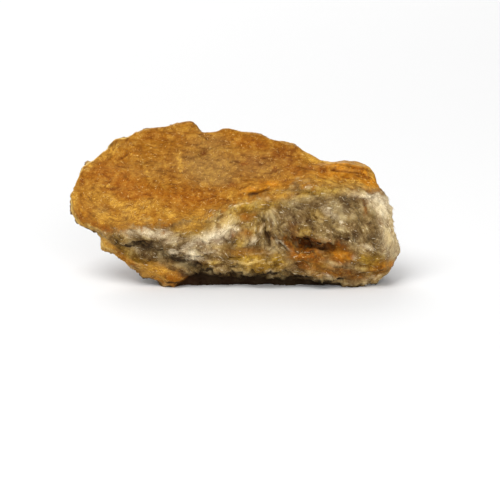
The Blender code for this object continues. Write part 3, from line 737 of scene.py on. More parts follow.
@dataclass
class Marks:
    """Works out, for every point of the skin, which mineral or stain lies there, and where shade,
    highlights and glow are painted.

    A noise's start tells it from the others. A facing is how far a point is turned to the line of
    sight or to the floor, from -1 to 1.
    """

    skin: Surface
    ragged: float = 0.5
    ragged_up: float = 0.7
    ragged_size: float = 1.8
    ragged_starts: tuple[float, float] = (40.0, 90.0)
    brow_ragged: float = 1.3
    brow_ragged_size: float = 2.0
    brow_start: float = 60.0
    brow_fade: float = 0.7
    brow_blend: float = 2.8
    front_facing: float = -0.50
    front_blend: float = 0.35
    layer_sizes: tuple[float, float, float] = (22.0, 16.0, 5.0)
    layer_start: float = 3.0
    layer_low: float = -0.15
    layer_blend: float = 0.35
    # The painted shade of the underside, and of faces turned to the floor.
    under_blend: float = 1.0
    down_facing: float = 0.70
    down_blend: float = 0.25
    # Where the painted glow of thin edges lies.
    rim_facing: float = 0.05
    rim_width: float = 0.42
    rim_left: float = -17.0
    rim_blend: float = 8.0
    rim_elsewhere: float = 0.30
    seed: int = 5

    def __post_init__(self) -> None:
        """Set out the warped places that the marks are drawn at, and which points are in front."""
        self.grain = Grain(self.seed)
        points = self.skin.points / self.ragged_size
        start_across, start_up = self.ragged_starts
        self.across = self.skin.across + self.ragged * self.grain.layered(points + start_across, 3)
        self.up = self.skin.up + self.ragged_up * self.ragged * self.grain.layered(points + start_up, 3)
        self.front = smooth_step((self.skin.towards - self.front_facing) / self.front_blend)

    def patch(self, patch: Patch) -> Field:
        """Return how strongly a patch lies on each point."""
        turn = math.radians(patch.turn)
        right, above = self.across - patch.across, self.up - patch.up
        along = (right * math.cos(turn) + above * math.sin(turn)) / patch.half_length
        beside = (above * math.cos(turn) - right * math.sin(turn)) / patch.half_height
        return patch.amount * np.exp(-np.hypot(along, beside) ** 3)

    def blotch(self, blotch: Blotch) -> Field:
        """Return how strongly a blotchy field lies on each point."""
        noise = self.grain.layered(self.skin.points / blotch.size + blotch.start, 4)
        return blotch.share * smooth_step((noise - blotch.low) / (blotch.high - blotch.low))

    def sheet_in_front(self, fibres: Field) -> Field:
        """Return where the sheet covers the front: above its ragged brow, and in the fibres below it."""
        places = self.skin.points / self.brow_ragged_size + self.brow_start
        above = self.up - line_height(BROW, self.skin.across)
        above += self.brow_ragged * self.grain.layered(places, 4, self.brow_fade)
        return np.maximum(smooth_step(0.5 + above / self.brow_blend), fibres)

    def sheet_behind(self) -> Field:
        """Return where the sheet's layers come out on the other sides."""
        places = in_layers(self.skin.points, self.layer_sizes) + self.layer_start
        return smooth_step((self.grain.layered(places, 3) - self.layer_low) / self.layer_blend)

    def underside(self) -> Field:
        """Return the painted shade: what lies below the line where the front turns in, or is turned to the
        floor.
        """
        below = line_height(UNDERSIDE, self.skin.across) - self.up
        under = smooth_step(0.5 + below / self.under_blend) * self.front
        down = smooth_step((-self.skin.normals[:, 2] - self.down_facing) / self.down_blend)
        return np.maximum(under, down)

    def rim(self) -> Field:
        """Return the painted glow, where the surface turns away from the line of sight, mostly at the left.
        """
        turning = np.exp(-(((self.skin.towards - self.rim_facing) / self.rim_width) ** 2))
        leftward = smooth_step((self.rim_left - self.skin.across) / self.rim_blend)
        return turning * at_least(self.rim_elsewhere, leftward)

    def work_out(self) -> dict[Mark, Field]:
        """Return every mark's values, one for each point."""
        marks = {
            mark: np.clip(sum(self.patch(patch) for patch in patches), 0.0, 1.0)
            for mark, patches in PATCHES.items()
        }
        away = 1.0 - self.front
        on_front = self.sheet_in_front(marks[Mark.SHEET])
        marks[Mark.SHEET] = on_front * self.front + self.sheet_behind() * away
        for mark, blotch in BLOTCHES.items():
            marks[mark] = marks[mark] * self.front + self.blotch(blotch) * away
        # The underside is painted in shade, and gets no painted glow.
        under = self.underside()
        marks[Mark.DARK] = np.maximum(marks[Mark.DARK], under)
        marks[Mark.PAINTED_RIM_GLOW] = self.rim() * on_front * (1.0 - under)
        return marks


@dataclass
class Rock:
    """The specimen itself: a fine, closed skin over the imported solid's form.

    A facing is how far a point is turned to the line of sight or to the floor, from -1 to 1. A size
    is how large one bit of relief is, and a least is how thickly bits grow where they are thinnest.
    """

    voxel: float = 0.285
    weld: float = 0.001
    smoothing: int = 6
    inset: float = 0.10
    foot_height: float = 0.35
    foot_blend: float = 0.2
    foot_facing: float = 0.75
    foot_turn: float = 0.15
    floor_gap: float = 0.12
    floor_facing: float = 0.6
    facing_blend: float = 0.3
    steepest: float = -0.3
    wander: float = 0.45
    wander_size: float = 4.0
    drift: float = 0.6
    drift_size: float = 9.0
    drift_start: float = 30.0
    weft_angle: float = 55.0
    felt_comb: Comb = Comb(0.55, 1.1)
    felt: Relief = Relief(0.20, 1.4)
    swell_size: float = 4.0
    swell: Relief = Relief(0.16, 0.0)
    flake_sizes: tuple[float, float, float] = (3.6, 1.9, 1.2)
    flake_tilt: float = 0.3
    flake: Relief = Relief(0.18, 0.5)
    flake_crack: float = 0.12
    flake_crack_floor: float = 0.6
    bundle_comb: Comb = Comb(1.7, 3.4)
    bundle: Relief = Relief(1.05, 1.5)
    thread_comb: Comb = Comb(0.7, 1.8)
    thread_start: float = 31.0
    thread: Relief = Relief(0.34, 0.8)
    lump_size: float = 3.0
    lump_warp: float = 0.3
    lump_warp_size: float = 1.6
    lump_tilt: float = 0.9
    lump: Relief = Relief(0.65, 0.6)
    lump_crack: float = 0.10
    nub_size: float = 1.5
    nub: Relief = Relief(0.14, 0.3)
    calm: float = 0.6
    calm_from: float = 28.5
    calm_blend: float = 3.0
    edge_facing: float = 0.5
    edge_blend: float = 2.0
    edge_calm: float = 0.75
    # How strongly cracks and seams are painted in shade, and the scale of all that painted shade.
    crack_shade: float = 0.45
    seam_shade: float = 1.4
    shade_scale: float = 0.45
    bare_in_painted_shade: float = 0.9
    bare_rust: float = 0.8
    least_felt: float = 0.5
    least_behind: float = 0.35
    least_splinters: float = 0.4
    seed: int = 21

    def even_copy(self) -> bpy.types.Object:
        """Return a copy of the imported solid, closed, evenly meshed and smoothed."""
        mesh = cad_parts[NODE].data.copy()
        mesh.materials.clear()
        work = bmesh.new()
        work.from_mesh(mesh)
        bmesh.ops.remove_doubles(work, verts=work.verts, dist=self.weld * MM)
        work.to_mesh(mesh)
        work.free()
        rock = bpy.data.objects.new(STONE, mesh)
        bpy.context.scene.collection.objects.link(rock)
        remesh = rock.modifiers.new("even", "REMESH")
        remesh.mode = "VOXEL"
        remesh.voxel_size = self.voxel * MM
        smooth = rock.modifiers.new("smooth", "SMOOTH")
        smooth.factor = 0.5
        smooth.iterations = self.smoothing
        bake_modifiers(rock)
        return rock

    def strand(self, skin: Surface) -> Field:
        """Work out which way the fibres run.

        Args:
            skin: The rock's skin.

        Returns:
            A direction along the skin for each point.
        """
        grain = Grain(self.seed + 1)
        total = np.zeros((len(skin.points), 2))
        for stroke in STROKES:
            gap = np.hypot(skin.across - stroke.across, skin.up - stroke.up)
            double = math.radians(2.0 * stroke.angle)
            weight = np.exp(-(gap / STROKE_REACH) ** 2) + FAR_STROKE / (1.0 + gap) ** 2
            total += weight[:, None] * np.array([math.cos(double), math.sin(double)])
        angle = 0.5 * np.arctan2(total[:, 1], total[:, 0])
        angle += self.wander * grain.layered(skin.points / self.wander_size, 2)
        sine, cosine = math.sin(SIGHT_TILT), math.cos(SIGHT_TILT)
        ahead = np.array([0.0, cosine, -sine])
        flat = np.cos(angle)[:, None] * ALONG
        flat += np.sin(angle)[:, None] * np.array([0.0, sine, cosine])
        steep = np.minimum(skin.normals @ ahead, self.steepest)
        on_front = flat - (np.sum(flat * skin.normals, axis=1) / steep)[:, None] * ahead
        turn = self.drift * grain.layered(skin.points / self.drift_size + self.drift_start, 2)
        on_back = np.stack([np.cos(turn), 0.0 * turn, np.sin(turn)], axis=-1)
        share = smooth_step(skin.towards / self.facing_blend)[:, None]
        strand = on_front * share + on_back * (1.0 - share)
        strand -= skin.normals * np.sum(strand * skin.normals, axis=1)[:, None]
        return strand / (np.linalg.norm(strand, axis=1)[:, None] + 1e-6)

    def seam_depth(self, skin: Surface) -> Field:
        """Return how deep the fine cracks cut at each point."""
        depth = np.zeros(len(skin.points))
        facing = smooth_step(skin.towards / self.facing_blend)
        for seam in SEAMS:
            nearest = np.full(len(depth), np.inf)
            for start, end in itertools.pairwise(seam.line):
                run = np.subtract(end, start)
                right, above = skin.across - start[0], skin.up - start[1]
                share = np.clip((right * run[0] + above * run[1]) / run.dot(run), 0.0, 1.0)
                gap = np.hypot(right - share * run[0], above - share * run[1])
                nearest = np.minimum(nearest, gap)
            depth += seam.depth * facing * np.exp(-((nearest / seam.half_width) ** 2))
        return depth

    def sheet_relief(self, skin: Surface, strand: Field) -> tuple[Field, Field, Field]:
        """Work out the relief of the matted sheet.

        Args:
            skin: The smooth skin.
            strand: The fibres' direction at each point.

        Returns:
            The height, how its hollows are painted in shade, and 1 on the flakes but less in their cracks.
        """
        grain = Grain(self.seed)
        felt = grain.combed(skin.points, strand, self.felt_comb)
        swell = grain.layered(skin.points / self.swell_size, 3)
        flakes, edge = grain.chunks(in_layers(skin.points, self.flake_sizes), self.flake_tilt)
        height, shade = stacked(((self.flake, flakes), (self.felt, felt), (self.swell, swell)))
        return height, shade, at_least(self.flake_crack_floor, smooth_step(edge / self.flake_crack))

    def quartz_relief(self, skin: Surface, strand: Field) -> tuple[Field, Field, Field]:
        """Work out the relief of the broken quartz, which is calmer at the right end.

        Args:
            skin: The smooth skin.
            strand: The fibres' direction at each point.

        Returns:
            The height, how its hollows are painted in shade, and 1 on the lumps but less in their cracks.
        """
        grain = Grain(self.seed)
        finer = Grain(self.seed + 2)
        points = skin.points
        bundles = finer.combed(points, strand, self.bundle_comb)
        threads = finer.combed(points, strand, self.thread_comb, self.thread_start)
        warp = self.lump_warp * finer.wave(points / self.lump_warp_size)[:, None]
        lumps, edge = grain.chunks(points / self.lump_size + warp, self.lump_tilt)
        nubs, _ = finer.chunks(points / self.nub_size, self.lump_tilt)
        height, shade = stacked((
            (self.lump, lumps), (self.nub, nubs), (self.bundle, bundles), (self.thread, threads),
        ))
        height *= 1.0 - self.calm * smooth_step((skin.across - self.calm_from) / self.calm_blend)
        return height, shade, smooth_step(edge / self.lump_crack)

    def outline_share(self, skin: Surface) -> Field:
        """Return how much of the height is kept, which is least where the outline is above the brow."""
        above = smooth_step((skin.up - line_height(BROW, skin.across)) / self.edge_blend)
        turning = 1.0 - smooth_step(np.abs(skin.towards) / self.edge_facing)
        return 1.0 - self.edge_calm * above * turning

    def foot(self, skin: Surface) -> Field:
        """Return how much of each point belongs to the flat foot."""
        low = smooth_step((self.foot_height - skin.points[:, 2]) / self.foot_blend)
        return low * smooth_step((-skin.normals[:, 2] - self.foot_facing) / self.foot_turn)

    def break_up(self, skin: Surface, marks: dict[Mark, Field]) -> Surface:
        """Break the smooth skin into felt, flakes and angular quartz.

        Args:
            skin: The smooth skin.
            marks: What lies on each point.

        Returns:
            The broken skin. The painted shade of its hollows, cracks and seams is added to the marks.
        """
        sheet = marks[Mark.SHEET]
        strand = self.strand(skin)
        pairs = zip(self.sheet_relief(skin, strand), self.quartz_relief(skin, strand))
        height, shade, edge = (sheet * mat + (1.0 - sheet) * quartz for mat, quartz in pairs)
        height *= self.outline_share(skin)
        cut = self.seam_depth(skin)
        # The painted shade of the hollows, cracks and seams.
        shade = shade - self.crack_shade * (1.0 - edge) - self.seam_shade * cut
        marks[Mark.PAINTED_HOLLOW_SHADE] = np.clip(0.5 + self.shade_scale * shade, 0.0, 1.0)
        return skin.lift((height - self.inset - cut) * (1.0 - self.foot(skin)))

    def keep_in_box(self, skin: Surface) -> Surface:
        """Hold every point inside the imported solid's box, and the foot on the floor."""
        points = boxed(skin.points, MM)
        flat = (points[:, 2] < self.floor_gap) & (skin.normals[:, 2] < -self.floor_facing)
        points[flat, 2] = 0.0
        return skin.moved(points)

    def write_guides(self, skin: Surface) -> None:
        """Keep the fibres' two directions on the skin."""
        strand = self.strand(skin)
        across = np.cross(skin.normals, strand)
        turn = math.radians(self.weft_angle)
        skin.write(Guide.STRAND.value, strand)
        skin.write(Guide.WEFT.value, strand * math.cos(turn) + across * math.sin(turn))

    def write_growth(self, skin: Surface, marks: dict[Mark, Field], front: Field) -> None:
        """Keep on the skin how thickly each kind of bit grows.

        Args:
            skin: The broken skin.
            marks: What lies on each point.
            front: How far each point belongs to the front.
        """
        # Fewer bits grow where shade is painted.
        lit = 1.0 - self.bare_in_painted_shade * marks[Mark.DARK]
        sheet, white = marks[Mark.SHEET], marks[Mark.WHITE]
        inward = smooth_step(np.abs(skin.towards) / self.edge_facing)
        skin.write(FELT, sheet * lit * inward * at_least(self.least_felt, marks[Mark.GOLD_AND_PAINTED_GLOW]))
        seen = at_least(self.least_behind, front) * (1.0 - self.bare_rust * marks[Mark.RUST])
        thick = at_least(self.least_splinters, white)
        skin.write(SPLINTERS, (1.0 - sheet) * lit * inward * seen * thick)
        skin.write(CHIPS, (1.0 - sheet) * lit * white)

    def build(self) -> bpy.types.Object:
        """Build the skin, break it up, and keep on it what the finishes and the growths read."""
        rock = self.even_copy()
        skin = Surface(rock.data)
        marker = Marks(skin)
        marks = marker.work_out()
        broken = self.keep_in_box(self.break_up(skin, marks))
        for mark, values in marks.items():
            broken.write(mark.value, values)
        self.write_guides(broken)
        self.write_growth(broken, marks, marker.front)
        rock.data.shade_smooth()
        return rock


def bake_modifiers(piece: bpy.types.Object) -> None:
    """Replace an object's mesh by what its modifiers give, and clear them.

    Args:
        piece: The object to change.
    """
    evaluated = piece.evaluated_get(bpy.context.evaluated_depsgraph_get())
    piece.data = bpy.data.meshes.new_from_object(evaluated)
    piece.modifiers.clear()


class Graph:
    """A node tree, with one way of adding any node to it."""

    def __init__(self, tree: bpy.types.NodeTree) -> None:
        """Take hold of a tree.

        Args:
            tree: The tree to add nodes to.
        """
        self.tree = tree

    def node(self, kind: str, settings: dict | None = None, sockets: dict | None = None) -> bpy.types.Node:
        """Add a node.

        Args:
            kind: The node's type.
            settings: Its settings by name, such as an operation. They are set first.
            sockets: Values or links of its inputs, by name or by number.

        Returns:
            The new node.
        """
        node = self.tree.nodes.new(kind)
        for name, value in (settings or {}).items():
            setattr(node, name, value)
        for name, value in (sockets or {}).items():
            target = node.inputs[name]
            if isinstance(value, Value):
                value = value.socket
            if isinstance(value, Socket):
                self.tree.links.new(value, target)
            else:
                target.default_value = value
        return node


class Value:
    """A number in a shader, for which Python's operators add the Math nodes."""

    def __init__(self, graph: Graph, socket: Socket) -> None:
        """Wrap a socket.

        Args:
            graph: The graph that the socket is in.
            socket: The output that gives the number.
        """
        self.graph = graph
        self.socket = socket

    def _math(self, operation: str, *terms: "Value | float") -> "Value":
        """Add one Math node."""
        node = self.graph.node("ShaderNodeMath", {"operation": operation}, dict(enumerate(terms)))
        return Value(self.graph, node.outputs[0])

    def __add__(self, other: "Value | float") -> "Value":
        """Add."""
        return self._math("ADD", self, other)

    __radd__ = __add__

    def __mul__(self, other: "Value | float") -> "Value":
        """Multiply."""
        return self._math("MULTIPLY", self, other)

    __rmul__ = __mul__

    def __sub__(self, other: "Value | float") -> "Value":
        """Subtract."""
        return self._math("SUBTRACT", self, other)

    def __rsub__(self, other: "Value | float") -> "Value":
        """Subtract from."""
        return self._math("SUBTRACT", other, self)

    def eased(self, low: float, high: float) -> "Value":
        """Return 0 below a low value, 1 above a high one, and ease between them."""
        node = self.graph.node(
            "ShaderNodeMapRange",
            {"interpolation_type": "SMOOTHSTEP"},
            {"Value": self, "From Min": low, "From Max": high},
        )
        return Value(self.graph, node.outputs["Result"])


@dataclass(frozen=True)
class Growth:
    """Small solids of one kind that grow from the skin: how many, how large and how they lie.

    The density is how many grow on a square millimetre where they are thickest.
    """

    name: str
    bit: Bit
    density: float
    length: float
    width: float
    thickness: float
    lift: float
    yaw: float
    pitch: float
    seed: int

    def shape(self, graph: Graph) -> Socket:
        """Return the bit's mesh, one unit long, lying along X."""
        if self.bit is Bit.CHIP:
            ball = graph.node("GeometryNodeMeshIcoSphere", None, {"Radius": 0.5, "Subdivisions": 1})
            return ball.outputs["Mesh"]
        spike = graph.node(
            "GeometryNodeMeshCone",
            {"fill_type": "NGON"},
            {"Vertices": 3, "Side Segments": 1, "Radius Top": 0.0, "Radius Bottom": 0.5, "Depth": 1.0},
        )
        laid = graph.node(
            "GeometryNodeTransform",
            None,
            {"Geometry": spike.outputs["Mesh"], "Rotation": (0.0, math.pi / 2.0, 0.0)},
        )
        return laid.outputs[0]

    def tree(self, material: bpy.types.Material) -> bpy.types.NodeTree:
        """Build the nodes that grow the bits.

        Args:
            material: What the bits are made of.

        Returns:
            The node tree, with named inputs for the sizes.
        """
        tree = bpy.data.node_groups.new(self.name, "GeometryNodeTree")
        face = tree.interface
        face.new_socket("Skin", in_out="INPUT", socket_type="NodeSocketGeometry")
        for name in ("Density", "Length", "Width", "Thickness", "Lift", "Yaw", "Pitch"):
            face.new_socket(name, in_out="INPUT", socket_type="NodeSocketFloat")
        face.new_socket("Seed", in_out="INPUT", socket_type="NodeSocketInt")
        face.new_socket("Bits", in_out="OUTPUT", socket_type="NodeSocketGeometry")
        graph = Graph(tree)
        given = graph.node("NodeGroupInput").outputs

        def chance(low: float, high: float, shift: int) -> Value:
            """Return a random number for each bit."""
            seed = graph.node("ShaderNodeMath", {"operation": "ADD"}, {0: given["Seed"], 1: float(shift)})
            node = graph.node(
                "FunctionNodeRandomValue", {"data_type": "FLOAT"}, {2: low, 3: high, "Seed": seed.outputs[0]},
            )
            return Value(graph, node.outputs[1])

        thick = graph.node("GeometryNodeInputNamedAttribute", {"data_type": "FLOAT"}, {"Name": self.name})
        density = Value(graph, given["Density"]) * Value(graph, thick.outputs[0])
        spread = graph.node(
            "GeometryNodeDistributePointsOnFaces",
            {"distribute_method": "RANDOM"},
            {"Mesh": given["Skin"], "Density": density, "Seed": given["Seed"]},
        )
        strand = graph.node(
            "GeometryNodeInputNamedAttribute", {"data_type": "FLOAT_VECTOR"}, {"Name": Guide.STRAND.value},
        )
        lengthwise = graph.node(
            "FunctionNodeAlignRotationToVector", {"axis": "X"}, {"Vector": strand.outputs[0]},
        )
        upright = graph.node(
            "FunctionNodeAlignRotationToVector",
            {"axis": "Z", "pivot_axis": "X"},
            {"Rotation": lengthwise.outputs[0], "Vector": spread.outputs["Normal"]},
        )
        stray = graph.node(
            "ShaderNodeCombineXYZ",
            None,
            {
                "X": chance(-math.pi, math.pi, 1),
                "Y": chance(-1.0, 1.0, 2) * Value(graph, given["Pitch"]),
                "Z": chance(-1.0, 1.0, 3) * Value(graph, given["Yaw"]),
            },
        )
        turned = graph.node(
            "FunctionNodeRotateRotation",
            {"rotation_space": "LOCAL"},
            {"Rotation": upright.outputs[0], "Rotate By": stray.outputs[0]},
        )
        slim = chance(0.6, 1.4, 5)
        size = graph.node(
            "ShaderNodeCombineXYZ",
            None,
            {
                "X": Value(graph, given["Length"]) * chance(0.45, 1.45, 4),
                "Y": Value(graph, given["Width"]) * slim,
                "Z": Value(graph, given["Thickness"]) * slim,
            },
        )
        raised = graph.node(
            "ShaderNodeVectorMath",
            {"operation": "SCALE"},
            {0: spread.outputs["Normal"], "Scale": Value(graph, given["Lift"]) * chance(0.2, 1.8, 6)},
        )
        placed = graph.node(
            "GeometryNodeSetPosition",
            None,
            {"Geometry": spread.outputs["Points"], "Offset": raised.outputs[0]},
        )
        grown = graph.node(
            "GeometryNodeInstanceOnPoints",
            None,
            {
                "Points": placed.outputs[0],
                "Instance": self.shape(graph),
                "Rotation": turned.outputs[0],
                "Scale": size.outputs[0],
            },
        )
        tinted = graph.node(
            "GeometryNodeStoreNamedAttribute",
            {"data_type": "FLOAT", "domain": "INSTANCE"},
            {"Geometry": grown.outputs[0], "Name": TINT, "Value": chance(0.0, 1.0, 7)},
        )
        real = graph.node("GeometryNodeRealizeInstances", None, {"Geometry": tinted.outputs[0]})
        made = graph.node(
            "GeometryNodeSetMaterial", None, {"Geometry": real.outputs[0], "Material": material},
        )
        graph.node("NodeGroupOutput", None, {0: made.outputs[0]})
        return tree

    def grow(self, rock: bpy.types.Object, material: bpy.types.Material) -> bpy.types.Object:
        """Grow the bits from the rock's skin.

        Args:
            rock: The rock, which carries the marks.
            material: What the bits are made of.

        Returns:
            The bits, joined in one mesh.
        """
        piece = bpy.data.objects.new(self.name, rock.data.copy())
        bpy.context.scene.collection.objects.link(piece)
        nodes = piece.modifiers.new("growth", "NODES")
        tree = self.tree(material)
        given = {
            "Density": self.density / MM ** 2,
            "Length": self.length * MM,
            "Width": self.width * MM,
            "Thickness": self.thickness * MM,
            "Lift": self.lift * MM,
            "Yaw": math.radians(self.yaw),
            "Pitch": math.radians(self.pitch),
            "Seed": self.seed,
        }
        nodes.node_group = tree
        for item in tree.interface.items_tree:
            if item.name in given:
                nodes[item.identifier] = given[item.name]
        bake_modifiers(piece)
        hold_in_box(piece.data)
        return piece


def hold_in_box(mesh: bpy.types.Mesh) -> None:
    """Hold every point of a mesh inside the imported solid's box.

    Args:
        mesh: The mesh to change.
    """
    points = np.empty(len(mesh.vertices) * 3)
    mesh.vertices.foreach_get("co", points)
    mesh.vertices.foreach_set("co", boxed(points.reshape(-1, 3), 1.0).ravel())
    mesh.update()


GROWTHS = (
    Growth(
        FELT, Bit.NEEDLE, density=8.0, length=0.7, width=0.14, thickness=0.05,
        lift=0.0, yaw=70.0, pitch=2.0, seed=101,
    ),
    Growth(
        SPLINTERS, Bit.NEEDLE, density=6.0, length=0.95, width=0.18, thickness=0.07,
        lift=-0.01, yaw=28.0, pitch=2.0, seed=202,
    ),
    Growth(
        CHIPS, Bit.CHIP, density=1.2, length=0.6, width=0.36, thickness=0.22,
        lift=-0.04, yaw=60.0, pitch=20.0, seed=303,
    ),
)


class Recipe(Graph):
    """A material's shader, written as expressions over the marks on the surface."""

    STREAK_STEPS = 7

    def __init__(self, name: str) -> None:
        """Start an empty material.

        Args:
            name: The material's name.
        """
        self.material = bpy.data.materials.new(name)
        self.material.use_nodes = True
        self.material.node_tree.nodes.clear()
        super().__init__(self.material.node_tree)

    def mark(self, mark: Mark) -> Value:
        """Return a mark's value."""
        node = self.node("ShaderNodeAttribute", {"attribute_name": mark.value})
        return Value(self, node.outputs["Fac"])

    def streaks(self, comb: Comb, guide: Guide = Guide.STRAND) -> Value:
        """Return noise drawn out along the fibres, from 0 to 1.

        Args:
            comb: How wide a streak is, and how far it is drawn out.
            guide: Which way it is drawn out.

        Returns:
            The value.
        """
        count = self.STREAK_STEPS
        place = self.place(comb.width)
        strand = self.node("ShaderNodeAttribute", {"attribute_name": guide.value})
        total: Value | float = 0.0
        for step in range(count):
            shift = comb.reach / comb.width * (2.0 * step / (count - 1) - 1.0)
            moved = self.node(
                "ShaderNodeVectorMath",
                {"operation": "MULTIPLY_ADD"},
                {0: strand.outputs["Vector"], 1: (shift, shift, shift), 2: place},
            )
            total = self.noise(moved.outputs[0], 1.0) + total
        spread = 1.0 + 0.25 * count
        return (total * (1.0 / count) - 0.5) * spread + 0.5

    def place(self, size: float) -> Socket:
        """Return the place on the object, in units of a size in millimetres."""
        where = self.node("ShaderNodeTexCoord")
        scaled = self.node(
            "ShaderNodeVectorMath",
            {"operation": "SCALE"},
            {0: where.outputs["Object"], "Scale": 1.0 / (size * MM)},
        )
        return scaled.outputs[0]

    def noise(self, where: Socket, detail: float = 3.0, rough: float = 0.55) -> Value:
        """Return smooth noise, from 0 to 1."""
        node = self.node(
            "ShaderNodeTexNoise",
            None,
            {"Vector": where, "Scale": 1.0, "Detail": detail, "Roughness": rough},
        )
        return Value(self, node.outputs[0])

    def mix(
        self, amount: Value | float, first: Colour | Socket, second: Colour | Socket, blend: str = "MIX",
    ) -> Socket:
        """Return one colour laid over another.

        Args:
            amount: How much of the second colour shows.
            first: The colour below.
            second: The colour above.
            blend: How they combine.

        Returns:
            The socket of the mixed colour.
        """
        pair = [(*c, 1.0) if isinstance(c, tuple) else c for c in (first, second)]
        node = self.node(
            "ShaderNodeMix",
            {"data_type": "RGBA", "blend_type": blend, "clamp_factor": True},
            {0: amount, 6: pair[0], 7: pair[1]},
        )
        return node.outputs[2]

    def shaded(self, amount: Value, colour: Socket, shade: Colour) -> Socket:
        """Return a colour darkened by a shade."""
        return self.mix(amount, colour, shade, "MULTIPLY")

    def finish(
        self, colour: Socket, rough: Value | float, height: Value, depth: float, constants: dict,
    ) -> bpy.types.Material:
        """Join colour, roughness and relief in one shader.

        Args:
            colour: The surface's colour.
            rough: Its roughness.
            height: The relief that the light sees, from 0 to 1.
            depth: How deep that relief is, in millimetres.
            constants: Values of the shader that are the same all over.

        Returns:
            The finished material.
        """
        bump = self.node("ShaderNodeBump", None, {"Strength": 1.0, "Distance": depth * MM, "Height": height})
        shader = self.node(
            "ShaderNodeBsdfPrincipled",
            None,
            {"Base Color": colour, "Roughness": rough, "Normal": bump.outputs[0], **constants},
        )
        output = self.node("ShaderNodeOutputMaterial")
        self.tree.links.new(shader.outputs[0], output.inputs["Surface"])
        return self.material


